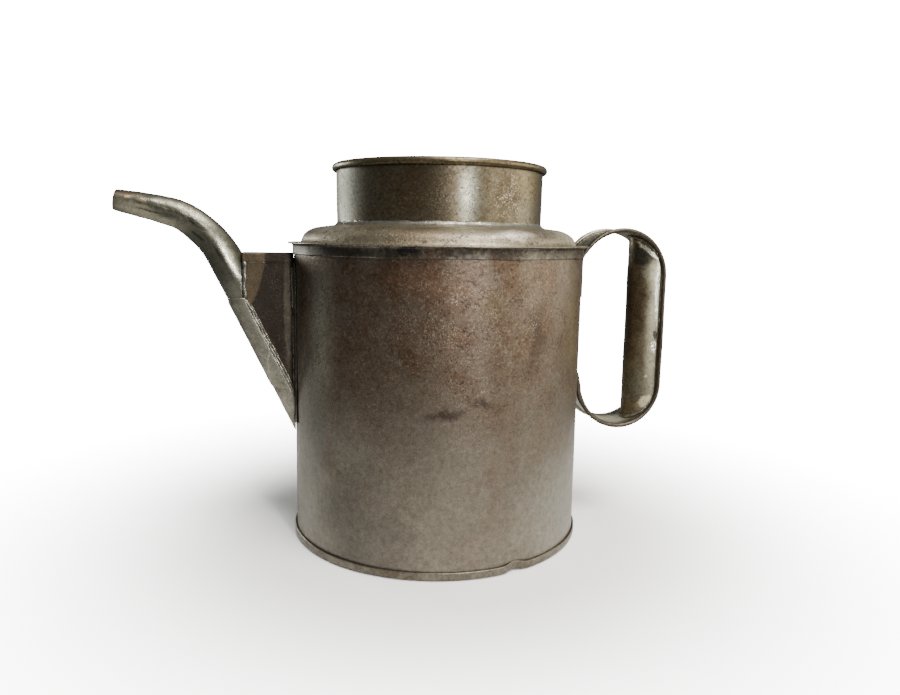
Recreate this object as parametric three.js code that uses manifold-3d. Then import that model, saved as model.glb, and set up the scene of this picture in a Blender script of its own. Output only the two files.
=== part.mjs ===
// A tinplate oil can: a round body with a wide open neck, a curved spout on a
// hollow boot, and a wired strap handle with a half-round grip.
// Millimetres, +Z up. The origin is the centre of the underside, on the body's axis.
// The spout points along -X and the handle along +X.
import * as THREE from 'three';
import { mergeVertices } from 'three/addons/utils/BufferGeometryUtils.js';
import Module from 'manifold-3d';

const wasm = await Module();
wasm.setup();

// ---------------------------------------------------------------- driving dimensions
const SHEET = 0.5; // tinplate thickness
const LAP = 0.1; // clearance between sheets that lap
const GAP = 0.3; // clearance where a piece is cut to meet its neighbour
const RING_STEPS = 48; // facets round the body's axis
const TUBE_STEPS = 20; // facets round a small tube
const FAR = 400; // longer than the whole can, for cutting blocks

const BODY_RADIUS = 76.2;
const BODY_HEIGHT = 153.6;
const SEAM_HEIGHT = 4.3; // folded seam round the base
const SEAM_CHAMFER = 1.8; // rounded-under lower edge of the seam
const SEAM_FOLD = 0.7; // thickness of the body's own edge, folded up in that seam
const STRAINER_HOLE_RADIUS = 3.5; // holes in the wall behind the spout boot
const STRAINER_HOLES = 5;
const STRAINER_PITCH = 12;
const STRAINER_FOOT = 75.2; // lowest hole, below the boot's cap

const FLANGE_PROJECTION = 3.1; // edge of the breast, out from the body's wall
const FLANGE_THICKNESS = 1.0; // hemmed, so twice the sheet
const BAND_HEIGHT = 5; // band lapped round the top of the body
const DOME_STEP = 3.8; // foot of the raised breast, in from the body's wall
const DOME_HEIGHT = 7.6; // foot to the start of its slope
const DOME_SHOULDER = 7.5; // width of its rounded corner, at most half the breast's
const DOME_RISE = 1.6; // further rise to the neck

const NECK_RADIUS = 54.2; // outside, under the bead
const NECK_TAPER = 0.4; // smaller at its foot
const NECK_HEIGHT = 28.9; // breast to the centre of the rolled bead
const NECK_TUCK = 2.5; // how far it passes down through the breast
const WIRE_RADIUS = 1.4; // wire in the rolled rim
const BEAD_OFFSET = 0.25; // bead centre outside the neck's outer face
const FILLET = 1.7; // solder round the foot of the neck

const TIP_RADIUS = 5.15; // outside of the spout's mouth
const ROOT_HALF_HEIGHT = 9.7; // the spout's lower end is squeezed oval
const ROOT_HALF_WIDTH = 7.6;
const TAPER_POWER = 0.68; // the spout widens quickly behind its tip
const SPOUT_ROUTE = [ // centre line from tip to root: [out from the spout's cut, up from the cap]
  [59.5, 24.5], [46.8, 22.2], [32.3, 18.8], [24.3, 14.8], [19, 10.4],
  [14.5, 5.9], [10.5, 0.3], [7.4, -5.1], [2.1, -15.2], [-3.3, -25.5],
];
const SPOUT_SECTIONS = 24;

const BOOT_LENGTH = 25.6; // body wall to the spout's cut end
const BOOT_DROP = 4.4; // its cap, below the top of the body
const BOOT_HALF_WIDTH = 6.3; // outside of its cheeks
const SPOUT_END_DROP = 24.6; // the spout's cut lower end, below the cap
const SPOUT_END_DEPTH = 7.64; // how far that end stands out past the upright cut
const NOSE_DROP = 94.6; // where the nose's outer line meets the body, below the cap
const NOSE_FLANK = 1.2; // straight lap of the nose over the cheeks
const CAP_FLANGE = 4; // turned-down sides of the cap
const CHEEK_FLANGE = 7; // feet of the cheeks, soldered to the body
const BEAD_RADIUS = 1.1; // solder beads along the boot

const HANDLE_WIDTH = 26.5; // over both wired edges
const HANDLE_EDGE_RADIUS = 1.25; // wired edge
const HANDLE_WIRE_RADIUS = 0.7;
const HANDLE_REACH = 50.6; // body wall to the outside of the loop
const UPPER_BEND = 25.3; // loop's bend radii, to the middle of the sheet
const LOWER_BEND = 23.6;
const UPPER_BEND_DROP = 15.2; // centre of the upper bend, below the top of the body
const BEND_SPACING = 60.6; // between the centres of the two bends
const UPPER_TAIL_DROP = 11.4; // foot of the upper tail, below the upper bend's centre
const LOWER_TAIL_RISE = 7.2; // top of the lower tail, above the lower bend's centre
const TAIL_OFFSET = 1.2; // body wall to the middle of the tails
const BEND_STEPS = 12;

const GRIP_CLEARANCE = 0.35; // between its sides and the strap's wired edges
const GRIP_DEPTH = 14.4;
const GRIP_SOLDER = 1.3;

// ---------------------------------------------------------------- materials
const metal = (color, roughness, metalness) =>
  new THREE.MeshStandardMaterial({ color, roughness, metalness });
const AGED_TIN = () => metal(0x6b5d4c, 0.5, 0.8);
const DARK_TIN = () => metal(0x5a4c3d, 0.55, 0.8);
const BRIGHT_TIN = () => metal(0x8a8678, 0.4, 0.9);
const SOLDER = () => metal(0xa09c8e, 0.45, 0.9);
const WIRE = () => metal(0x4a3f35, 0.6, 0.8);

// ---------------------------------------------------------------- solids
const can = new THREE.Group();

function toSolid(geometry) {
  const bare = geometry.clone();
  bare.deleteAttribute('normal');
  bare.deleteAttribute('uv');
  const merged = mergeVertices(bare, 1e-4);
  return new wasm.Manifold(new wasm.Mesh({
    numProp: 3,
    vertProperties: new Float32Array(merged.attributes.position.array),
    triVerts: new Uint32Array(merged.index.array),
  }));
}

function toGeometry(solid) {
  const mesh = solid.getMesh();
  const geometry = new THREE.BufferGeometry();
  geometry.setAttribute('position', new THREE.BufferAttribute(mesh.vertProperties, 3));
  geometry.setIndex(new THREE.BufferAttribute(mesh.triVerts, 1));
  geometry.computeVertexNormals();
  return geometry;
}

function addPiece(name, shape, material) {
  const geometry = shape.isBufferGeometry ? shape : toGeometry(shape);
  const mesh = new THREE.Mesh(geometry, material);
  mesh.name = name;
  can.add(mesh);
}

// Turns a closed outline, [radius, z] counter-clockwise, round the body's axis.
function turned(outline, steps = RING_STEPS) {
  const points = outline.map(([radius, z]) => new THREE.Vector2(radius, z));
  const onAxis = points[0].x === 0 && points[points.length - 1].x === 0;
  if (!onAxis) points.push(points[0].clone());
  return new THREE.LatheGeometry(points, steps).rotateX(Math.PI / 2);
}

// A block between two corners.
function block(low, high) {
  const size = high.map((value, axis) => value - low[axis]);
  const centre = high.map((value, axis) => (value + low[axis]) / 2);
  return toSolid(new THREE.BoxGeometry(...size).translate(...centre));
}

// A solid round bar on the body's axis, for cutting what meets the wall.
function bodyBar(radius) {
  const bar = new THREE.CylinderGeometry(radius, radius, FAR, RING_STEPS, 1);
  return toSolid(bar.rotateX(Math.PI / 2).rotateZ(Math.PI / 2));
}

// What a piece is cut back from where it meets the body's wall and its top band.
function bodyClearance(gap) {
  const band = BODY_RADIUS + LAP + SHEET + gap;
  const low = BODY_HEIGHT - BAND_HEIGHT - gap;
  return bodyBar(BODY_RADIUS + gap).add(toSolid(turned([[0, low], [band, low], [band, FAR], [0, FAR]])));
}

// An outline in the X-Z plane, extruded along Y from one value to another.
function plate(outline, fromY, toY) {
  const shape = new THREE.Shape(outline.map(([x, z]) => new THREE.Vector2(x, z)));
  const geometry = new THREE.ExtrudeGeometry(shape, { depth: toY - fromY, bevelEnabled: false });
  return toSolid(geometry.rotateX(Math.PI / 2).translate(0, toY, 0));
}

// Points of an arc in a plane, from one angle to another.
function arc([centreX, centreY], radius, from, to, steps) {
  return Array.from({ length: steps + 1 }, (_, step) => {
    const angle = from + (to - from) * step / steps;
    return [centreX + radius * Math.cos(angle), centreY + radius * Math.sin(angle)];
  });
}

// Shifts an open line sideways: positive is to its left.
function offsetLine(line, distance) {
  return line.map(([x, y], index) => {
    const [beforeX, beforeY] = line[Math.max(index - 1, 0)];
    const [afterX, afterY] = line[Math.min(index + 1, line.length - 1)];
    const length = Math.hypot(afterX - beforeX, afterY - beforeY);
    return [x - distance * (afterY - beforeY) / length, y + distance * (afterX - beforeX) / length];
  });
}

// The closed outline of a strip of sheet that follows an open line.
function strip(line, thickness) {
  return [...offsetLine(line, -thickness / 2), ...offsetLine(line, thickness / 2).reverse()];
}

// A round rod along a smooth line of [x, z] points at a given y.
function rod(line, y, radius, sides) {
  const points = line.map(([x, z]) => new THREE.Vector3(x, y, z));
  const extrudePath = new THREE.CatmullRomCurve3(points, false, 'centripetal');
  const section = new THREE.Shape(arc([0, 0], radius, 0, 2 * Math.PI, sides).slice(0, -1)
    .map(([a, b]) => new THREE.Vector2(a, b)));
  return toSolid(new THREE.ExtrudeGeometry(section, { steps: line.length - 1, extrudePath }));
}

// ---------------------------------------------------------------- body
const BOOT_TOP = BODY_HEIGHT - BOOT_DROP; // level of the boot's cap
function bodyShell() {
  const inside = BODY_RADIUS - SHEET;
  const low = SHEET + LAP + SEAM_CHAMFER;
  const wall = toSolid(turned([
    [inside, low], [BODY_RADIUS + SEAM_FOLD, low],
    [BODY_RADIUS + SEAM_FOLD, SEAM_HEIGHT - SHEET], [BODY_RADIUS, SEAM_HEIGHT - SHEET],
    [BODY_RADIUS, BODY_HEIGHT], [inside, BODY_HEIGHT],
  ]));
  let shell = wall;
  for (let hole = 0; hole < STRAINER_HOLES; hole++) {
    const drill = new THREE.CylinderGeometry(
      STRAINER_HOLE_RADIUS, STRAINER_HOLE_RADIUS, BODY_RADIUS / 2, 16);
    const level = BOOT_TOP - STRAINER_FOOT + STRAINER_PITCH * hole;
    drill.rotateZ(Math.PI / 2).translate(-BODY_RADIUS, 0, level);
    shell = shell.subtract(toSolid(drill));
  }
  return shell;
}

const SEAM_RADIUS = BODY_RADIUS + SEAM_FOLD + LAP + SHEET;
function baseDisc() {
  const inside = SEAM_RADIUS - SHEET;
  return turned([
    [0, 0], [SEAM_RADIUS - SEAM_CHAMFER, 0], [SEAM_RADIUS, SEAM_CHAMFER], [SEAM_RADIUS, SEAM_HEIGHT],
    [inside, SEAM_HEIGHT], [inside, SEAM_CHAMFER + SHEET], [inside - SEAM_CHAMFER, SHEET], [0, SHEET],
  ]);
}

function topBand() {
  const inside = BODY_RADIUS + LAP;
  const low = BODY_HEIGHT - BAND_HEIGHT;
  return turned([
    [inside, low], [inside + SHEET, low], [inside + SHEET, BODY_HEIGHT], [inside, BODY_HEIGHT],
  ]);
}

// ---------------------------------------------------------------- breast and neck
const FLANGE_LEVEL = BODY_HEIGHT + LAP; // underside of the breast's flange
const FLANGE_RADIUS = BODY_RADIUS + FLANGE_PROJECTION;
const DOME_RADIUS = BODY_RADIUS - DOME_STEP;
const NECK_FOOT_RADIUS = NECK_RADIUS - NECK_TAPER;
const NECK_HOLE_RADIUS = NECK_FOOT_RADIUS + LAP;
const BREAST_TOP = FLANGE_LEVEL + FLANGE_THICKNESS + DOME_HEIGHT + DOME_RISE;

// Top surface of the breast, from the flange in to the neck hole.
function breastLine() {
  const foot = FLANGE_LEVEL + FLANGE_THICKNESS;
  const shoulder = Math.min(DOME_SHOULDER, (DOME_RADIUS - NECK_HOLE_RADIUS) / 2);
  const corner = new THREE.QuadraticBezierCurve(
    new THREE.Vector2(DOME_RADIUS, foot),
    new THREE.Vector2(DOME_RADIUS - shoulder / 4, foot + DOME_HEIGHT),
    new THREE.Vector2(DOME_RADIUS - shoulder, foot + DOME_HEIGHT));
  const curve = corner.getPoints(6).map((point) => [point.x, point.y]);
  return [...curve, [NECK_HOLE_RADIUS, BREAST_TOP]];
}

function breast() {
  const top = breastLine();
  const under = offsetLine(top, SHEET).map(([x, z]) => [Math.max(x, NECK_HOLE_RADIUS), z]).reverse();
  const innerFoot = DOME_RADIUS - SHEET;
  return turned([
    [FLANGE_RADIUS, FLANGE_LEVEL], [FLANGE_RADIUS, FLANGE_LEVEL + FLANGE_THICKNESS],
    ...top, ...under.slice(0, -1), [innerFoot, FLANGE_LEVEL],
  ]);
}

const NECK_BEAD_LEVEL = BREAST_TOP + NECK_HEIGHT;
const NECK_BEAD_RADIUS = NECK_RADIUS + BEAD_OFFSET;
const CURL_RADIUS = WIRE_RADIUS + LAP + SHEET / 2; // to the middle of the curled sheet

// Middle of the neck's sheet: up the wall, then round the wire.
function neckLine() {
  const half = SHEET / 2;
  const dip = Math.acos((BEAD_OFFSET + half) / CURL_RADIUS); // where the wall meets the curl
  const start = Math.PI + dip;
  const end = -Math.PI / 3;
  return [
    [NECK_FOOT_RADIUS - half, BREAST_TOP - NECK_TUCK],
    [NECK_RADIUS - half, NECK_BEAD_LEVEL - CURL_RADIUS - SHEET],
    ...arc([NECK_BEAD_RADIUS, NECK_BEAD_LEVEL], CURL_RADIUS, start, end, 10),
  ];
}

function neck() {
  return turned(strip(neckLine(), SHEET));
}

function rimWire() {
  return turned(arc([NECK_BEAD_RADIUS, NECK_BEAD_LEVEL], WIRE_RADIUS, 0, 2 * Math.PI, 8).slice(0, -1));
}

function neckSolder() {
  const inside = NECK_FOOT_RADIUS + LAP;
  const low = BREAST_TOP + LAP;
  return turned([[inside, low], [inside + FILLET, low], [inside + FILLET / 3, low + FILLET / 3],
    [inside, low + FILLET]]);
}

// ---------------------------------------------------------------- spout
const SPOUT_CUT_X = -(BODY_RADIUS + BOOT_LENGTH); // upright cut where the spout ends on the boot
const SPOUT_END_LEVEL = BOOT_TOP - SPOUT_END_DROP;

// A straight tapered oval tube, then every section is moved onto the curved route.
function bentTube(route, halfHeight, halfWidth, wall) {
  const points = route.map(([out, up]) => new THREE.Vector3(SPOUT_CUT_X - out, 0, BOOT_TOP + up));
  const curve = new THREE.CatmullRomCurve3(points, false, 'centripetal');
  const along = (count) => Array.from({ length: count + 1 }, (_, step) => step / count);
  const outer = along(SPOUT_SECTIONS).map((t) => new THREE.Vector2(1, t));
  const inner = [...outer].reverse().map((point) => new THREE.Vector2(0.5, point.y));
  const tube = new THREE.LatheGeometry([...outer, ...inner, outer[0].clone()], TUBE_STEPS);
  const position = tube.attributes.position;
  for (let index = 0; index < position.count; index++) {
    const t = position.getY(index);
    const side = new THREE.Vector2(position.getX(index), position.getZ(index));
    const inset = side.length() > 0.75 ? 0 : wall;
    side.normalize();
    const centre = curve.getPointAt(t);
    const tangent = curve.getTangentAt(t);
    const up = (halfHeight(t) - inset) * side.x;
    position.setXYZ(index,
      centre.x - tangent.z * up, (halfWidth(t) - inset) * side.y, centre.z + tangent.x * up);
  }
  return toSolid(tube);
}

function spoutTube() {
  const widen = (root) => (t) => TIP_RADIUS + (root - TIP_RADIUS) * t ** TAPER_POWER;
  return bentTube(SPOUT_ROUTE, widen(ROOT_HALF_HEIGHT), widen(ROOT_HALF_WIDTH), SHEET)
    .subtract(block([SPOUT_CUT_X, -FAR, -FAR], [FAR, FAR, FAR]))
    .subtract(block([-FAR, -FAR, -FAR], [FAR, FAR, SPOUT_END_LEVEL]));
}

// ---------------------------------------------------------------- spout boot
const NOSE_FOOT_LEVEL = BOOT_TOP - NOSE_DROP;
const BOOT_SLOPE = Math.atan2(NOSE_DROP - SPOUT_END_DROP, BOOT_LENGTH + SPOUT_END_DEPTH);

// The nose's outer line runs down this direction to its foot on the body.
const DOWN = [Math.cos(BOOT_SLOPE), -Math.sin(BOOT_SLOPE)];
const INWARD = [Math.sin(BOOT_SLOPE), Math.cos(BOOT_SLOPE)];
const NOSE_RADIUS = BOOT_HALF_WIDTH + LAP + SHEET;
const NOSE_LENGTH = (BOOT_LENGTH + NOSE_RADIUS) / DOWN[0];

// A point on the boot: distance up the nose from its foot, and distance in from its outer line.
function bootPoint(up, inward) {
  return [
    -BODY_RADIUS - DOWN[0] * up + INWARD[0] * inward,
    NOSE_FOOT_LEVEL - DOWN[1] * up + INWARD[1] * inward,
  ];
}

// Distance up the nose at which a line parallel to it reaches a given level.
function upAtLevel(level, inward) {
  return (level - NOSE_FOOT_LEVEL - INWARD[1] * inward) / -DOWN[1];
}

const SLEEVE = SHEET + LAP; // the nose stands in from the spout's outer line
function spoutNose() {
  const half = Math.PI / 2;
  const outer = arc([0, 0], NOSE_RADIUS, half, 3 * half, 14);
  const inner = arc([0, 0], NOSE_RADIUS - SHEET, half, 3 * half, 14).reverse();
  const profile = [
    [NOSE_FLANK, NOSE_RADIUS], ...outer, [NOSE_FLANK, -NOSE_RADIUS],
    [NOSE_FLANK, SHEET - NOSE_RADIUS], ...inner, [NOSE_FLANK, NOSE_RADIUS - SHEET],
  ];
  const top = upAtLevel(SPOUT_END_LEVEL, SLEEVE);
  const shape = new THREE.Shape(profile.map(([inward, y]) => new THREE.Vector2(inward, y)));
  const trough = new THREE.ExtrudeGeometry(shape, { depth: top + NOSE_LENGTH / 2, bevelEnabled: false });
  trough.translate(NOSE_RADIUS + SLEEVE, 0, -NOSE_LENGTH / 2);
  trough.rotateY(BOOT_SLOPE - Math.PI / 2);
  trough.translate(-BODY_RADIUS, 0, NOSE_FOOT_LEVEL);
  return toSolid(trough).subtract(bodyClearance(GAP))
    .subtract(block([-FAR, -FAR, SPOUT_END_LEVEL - GAP], [FAR, FAR, FAR]));
}

// The flat side of the boot, with a foot bent along the body's wall.
function cheek(side) {
  const inward = NOSE_RADIUS + SLEEVE;
  const left = SPOUT_CUT_X + GAP;
  const top = BOOT_TOP - SHEET - LAP;
  const upper = (-BODY_RADIUS - left + INWARD[0] * inward) / DOWN[0];
  const toe = bootPoint(0, inward);
  const outline = [[toe[0], top], [left, top], bootPoint(upper, inward), toe];
  const near = BOOT_HALF_WIDTH - SHEET;
  const wall = side > 0 ? plate(outline, near, BOOT_HALF_WIDTH) : plate(outline, -BOOT_HALF_WIDTH, -near);
  const low = bootPoint(BOOT_HALF_WIDTH, inward)[1];
  const ring = toSolid(turned([
    [BODY_RADIUS, low], [BODY_RADIUS + GAP + SHEET, low],
    [BODY_RADIUS + GAP + SHEET, top], [BODY_RADIUS, top],
  ]));
  const footSide = [near, BOOT_HALF_WIDTH + CHEEK_FLANGE];
  const [fromY, toY] = side > 0 ? footSide : footSide.map((value) => -value).reverse();
  const foot = ring.intersect(block([-FAR, fromY, low], [0, toY, top]));
  const nosePath = plate([bootPoint(-FAR / 2, inward + NOSE_FLANK + GAP), bootPoint(FAR / 2,
    inward + NOSE_FLANK + GAP), bootPoint(FAR / 2, -GAP), bootPoint(-FAR / 2, -GAP)], -FAR, FAR);
  const capPath = block([-FAR, -NOSE_RADIUS - GAP, top - CAP_FLANGE], [FAR, NOSE_RADIUS + GAP, FAR]);
  return wall.add(foot.subtract(nosePath).subtract(capPath)).subtract(bodyClearance(GAP));
}

function spoutCap() {
  const top = BOOT_TOP;
  const low = BOOT_TOP - SHEET - CAP_FLANGE;
  const outside = BOOT_HALF_WIDTH + LAP + SHEET;
  const left = SPOUT_CUT_X + GAP;
  const lid = block([left, -outside, top - SHEET], [-BODY_RADIUS / 2, outside, top]);
  const front = block([left, -outside, low], [-BODY_RADIUS / 2, SHEET - outside, top]);
  const back = block([left, outside - SHEET, low], [-BODY_RADIUS / 2, outside, top]);
  return lid.add(front).add(back).subtract(bodyClearance(GAP));
}

// Solder along the spout's cut end and down beside the nose.
function bootSolder(side) {
  const away = NOSE_RADIUS + SLEEVE + NOSE_FLANK + GAP + BEAD_RADIUS;
  const left = SPOUT_CUT_X + GAP + BEAD_RADIUS;
  const bend = (-BODY_RADIUS - left + INWARD[0] * away) / DOWN[0];
  const top = BOOT_TOP - SHEET - CAP_FLANGE - GAP;
  const foot = (CHEEK_FLANGE / 2 + INWARD[0] * away) / DOWN[0];
  const corner = bootPoint(bend, away);
  const line = [
    [left, top], [left, (top + corner[1]) / 2], [left, corner[1] + 1],
    bootPoint(bend - 1, away), bootPoint((bend + foot) / 2, away), bootPoint(foot, away),
  ];
  const y = side * (BOOT_HALF_WIDTH + GAP / 2 + BEAD_RADIUS);
  return rod(line, y, BEAD_RADIUS, 8);
}

// ---------------------------------------------------------------- handle
const TAIL_X = BODY_RADIUS + TAIL_OFFSET; // middle of the strap's tails
const UPPER_BEND_LEVEL = BODY_HEIGHT - UPPER_BEND_DROP;
const LOWER_BEND_LEVEL = UPPER_BEND_LEVEL - BEND_SPACING;
const UPPER_TAIL_END = UPPER_BEND_LEVEL - UPPER_TAIL_DROP;
const LOWER_TAIL_END = LOWER_BEND_LEVEL + LOWER_TAIL_RISE;
const LOOP_OUTER = BODY_RADIUS + HANDLE_REACH - HANDLE_EDGE_RADIUS; // middle of the outer run
const UPPER_CENTRE = [LOOP_OUTER - UPPER_BEND, UPPER_BEND_LEVEL];
const LOWER_CENTRE = [LOOP_OUTER - LOWER_BEND, LOWER_BEND_LEVEL];

// Angle at which a bend comes down on the line of the tails.
function landing(centre, radius) {
  return Math.PI - Math.acos(Math.min((centre[0] - TAIL_X) / radius, 1));
}

// Middle of the strap, from the foot of its upper tail round to its lower tail.
function strapLine() {
  const upper = landing(UPPER_CENTRE, UPPER_BEND);
  const lower = 2 * Math.PI - landing(LOWER_CENTRE, LOWER_BEND);
  return [
    [TAIL_X, UPPER_TAIL_END],
    ...arc(UPPER_CENTRE, UPPER_BEND, upper, 0, BEND_STEPS),
    ...arc(LOWER_CENTRE, LOWER_BEND, 0, lower - 2 * Math.PI, BEND_STEPS),
    [TAIL_X, LOWER_TAIL_END],
  ];
}

const WIRED_EDGE_Y = HANDLE_WIDTH / 2 - HANDLE_EDGE_RADIUS;
const GRIP_HALF_WIDTH = WIRED_EDGE_Y - HANDLE_EDGE_RADIUS - GRIP_CLEARANCE;
function handleStrap() {
  const line = strapLine();
  let strap = plate(strip(line, SHEET), -WIRED_EDGE_Y, WIRED_EDGE_Y);
  for (const y of [-WIRED_EDGE_Y, WIRED_EDGE_Y]) {
    strap = strap.add(rod(line, y, HANDLE_EDGE_RADIUS, 10));
  }
  for (const y of [-WIRED_EDGE_Y, WIRED_EDGE_Y]) {
    strap = strap.subtract(rod(line, y, HANDLE_WIRE_RADIUS + 2 * LAP, 8));
  }
  return strap;
}

function handleWire(side) {
  return rod(strapLine(), side * WIRED_EDGE_Y, HANDLE_WIRE_RADIUS, 6);
}

// The space inside the loop, drawn in from the strap by a distance.
function loopInside(distance, halfDepth) {
  const inset = SHEET / 2 + distance;
  const outline = [
    ...arc(UPPER_CENTRE, UPPER_BEND - inset, Math.PI, 0, 2 * BEND_STEPS),
    ...arc(LOWER_CENTRE, LOWER_BEND - inset, 0, -Math.PI, 2 * BEND_STEPS),
  ];
  return plate(outline, -halfDepth, halfDepth);
}

// A solid oval bar up the line of the grip.
function gripBar(grow) {
  const bar = new THREE.CylinderGeometry(1, 1, FAR, 40, 1).rotateX(Math.PI / 2);
  bar.scale(GRIP_DEPTH + grow, GRIP_HALF_WIDTH + grow, 1);
  return toSolid(bar.translate(LOOP_OUTER - SHEET / 2, 0, 0));
}

function gripShell() {
  return gripBar(0).subtract(gripBar(-SHEET))
    .intersect(loopInside(GAP, GRIP_HALF_WIDTH + 1))
    .subtract(block([LOOP_OUTER - SHEET / 2 - GAP, -FAR, -FAR], [FAR, FAR, FAR]));
}

// Solder where one end of the grip meets the strap's bend.
function gripSolder(fromZ, toZ) {
  const edge = LOOP_OUTER - HANDLE_EDGE_RADIUS - 2 * GAP;
  return gripBar(GRIP_SOLDER).subtract(gripBar(LAP))
    .intersect(loopInside(GAP, WIRED_EDGE_Y - HANDLE_EDGE_RADIUS - GAP))
    .subtract(loopInside(GAP + GRIP_SOLDER, WIRED_EDGE_Y))
    .intersect(block([BODY_RADIUS, -FAR, fromZ], [edge, FAR, toZ]));
}

// Solder between a tail of the strap and the round wall of the body.
function tailSolder(fromZ, toZ) {
  const halfWidth = WIRED_EDGE_Y - HANDLE_EDGE_RADIUS - GAP;
  return block([0, -halfWidth, fromZ], [TAIL_X - SHEET / 2 - LAP, halfWidth, toZ])
    .subtract(bodyBar(BODY_RADIUS + LAP));
}

// ---------------------------------------------------------------- assembly
addPiece('body_shell', bodyShell(), AGED_TIN());
addPiece('base_disc', baseDisc(), DARK_TIN());
addPiece('top_band', topBand(), AGED_TIN());
addPiece('breast', breast(), AGED_TIN());
addPiece('neck', neck(), AGED_TIN());
addPiece('rim_wire', rimWire(), WIRE());
addPiece('neck_solder', neckSolder(), SOLDER());
addPiece('spout_tube', spoutTube(), BRIGHT_TIN());
addPiece('spout_nose', spoutNose(), BRIGHT_TIN());
addPiece('spout_cheek_front', cheek(-1), DARK_TIN());
addPiece('spout_cheek_back', cheek(1), DARK_TIN());
addPiece('spout_cap', spoutCap(), DARK_TIN());
addPiece('spout_solder_front', bootSolder(-1), SOLDER());
addPiece('spout_solder_back', bootSolder(1), SOLDER());
addPiece('handle_strap', handleStrap(), BRIGHT_TIN());
addPiece('handle_wire_front', handleWire(-1), WIRE());
addPiece('handle_wire_back', handleWire(1), WIRE());
addPiece('grip_shell', gripShell(), DARK_TIN());
addPiece('grip_solder_top', gripSolder(UPPER_BEND_LEVEL, FAR), SOLDER());
addPiece('grip_solder_bottom', gripSolder(-FAR, LOWER_BEND_LEVEL), SOLDER());
addPiece('handle_solder_top', tailSolder(UPPER_TAIL_END, BODY_HEIGHT - BAND_HEIGHT - GAP), SOLDER());
addPiece('handle_solder_bottom', tailSolder(LOWER_BEND_LEVEL, LOWER_TAIL_END), SOLDER());

export default can;
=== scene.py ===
import bmesh
import bpy
import math
from mathutils import Matrix, Vector, noise


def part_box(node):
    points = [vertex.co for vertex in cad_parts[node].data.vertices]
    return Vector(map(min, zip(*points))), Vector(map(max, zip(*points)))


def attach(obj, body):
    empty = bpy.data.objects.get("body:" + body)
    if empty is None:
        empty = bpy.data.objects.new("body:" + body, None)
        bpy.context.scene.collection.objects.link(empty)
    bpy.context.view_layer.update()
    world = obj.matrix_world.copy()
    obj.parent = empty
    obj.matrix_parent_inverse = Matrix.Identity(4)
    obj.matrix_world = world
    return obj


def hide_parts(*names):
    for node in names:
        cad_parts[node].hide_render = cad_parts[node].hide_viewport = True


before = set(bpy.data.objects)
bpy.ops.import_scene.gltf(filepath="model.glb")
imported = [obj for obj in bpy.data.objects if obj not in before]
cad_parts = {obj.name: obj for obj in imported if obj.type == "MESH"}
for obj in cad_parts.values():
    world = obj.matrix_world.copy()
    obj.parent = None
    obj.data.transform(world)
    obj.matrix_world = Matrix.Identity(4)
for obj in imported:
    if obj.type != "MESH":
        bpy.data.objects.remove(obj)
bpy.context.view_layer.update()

MM = 0.001
TURN = 2 * math.pi
SHEET = 0.5 * MM  # tinplate thickness
LAP = 0.1 * MM
CUT = 0.3 * MM  # clearance where pieces meet

HOOP_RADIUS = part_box("base_disc")[1].y
HOOP_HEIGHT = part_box("base_disc")[1].z
BODY_RADIUS = HOOP_RADIUS - 1.3 * MM
BODY_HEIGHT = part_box("body_shell")[1].z
BAND_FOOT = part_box("top_band")[0].z
FLANGE_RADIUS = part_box("breast")[1].y
FLANGE_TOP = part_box("breast")[0].z + 1.0 * MM
BREAST_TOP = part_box("breast")[1].z
RIM_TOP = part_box("neck")[1].z
NECK_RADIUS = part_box("neck")[1].y - 2.25 * MM
SPOUT_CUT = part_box("spout_tube")[1].x
SPOUT_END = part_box("spout_tube")[0].z
BOOT_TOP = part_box("spout_cap")[1].z
HANDLE_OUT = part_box("handle_strap")[1].x
BENCH_DENT = math.radians(-70)  # direction of the knock in the base seam


# ---------------- mesh tools
BEAD_SIDES = 14
CURVE_STEPS = 24  # fine points between two given ones


def clamp(value, low=0.0, high=1.0):
    return max(low, min(high, value))


def ease(value, start, end):
    """0 before start, 1 after end, smooth between; start may be the larger."""
    t = clamp((value - start) / (end - start))
    return t * t * (3 - 2 * t)


def uneven(point, size, amount, salt=0.0):
    """Smooth hand-worked unevenness: a signed amount that changes over a given size."""
    return noise.noise(Vector(point) / size + Vector((salt, 2 * salt, -salt))) * amount


def arc(centre, radius, start, end, steps):
    """Points round part of a circle, angles in degrees."""
    angles = [math.radians(start + (end - start) * k / steps) for k in range(steps + 1)]
    return [(centre[0] + radius * math.cos(a), centre[1] + radius * math.sin(a)) for a in angles]


def off_corner(r, z, *steps):
    """Outline points given in millimetres from a corner."""
    return [(r + across * MM, z + up * MM) for across, up in steps]


def shifted(line, distance):
    """An open 2-D line moved sideways; positive is to its left."""
    moved = []
    for k, (x, y) in enumerate(line):
        bx, by = line[max(k - 1, 0)]
        ax, ay = line[min(k + 1, len(line) - 1)]
        length = math.hypot(ax - bx, ay - by)
        moved.append((x - distance * (ay - by) / length, y + distance * (ax - bx) / length))
    return moved


def smooth_line(points, count):
    """Evenly spaced points and directions on a smooth curve through a few 2-D points."""
    pts = [Vector(p) for p in points]
    pts = [2 * pts[0] - pts[1], *pts, 2 * pts[-1] - pts[-2]]
    fine = []
    for k in range(1, len(pts) - 2):
        a, b, c, d = pts[k - 1:k + 3]
        for s in range(CURVE_STEPS):
            t = s / CURVE_STEPS
            fine.append(0.5 * (2 * b + (c - a) * t + (2 * a - 5 * b + 4 * c - d) * t * t
                               + (3 * b - a - 3 * c + d) * t ** 3))
    fine.append(pts[-2])
    return even_line(fine, count)


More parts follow.
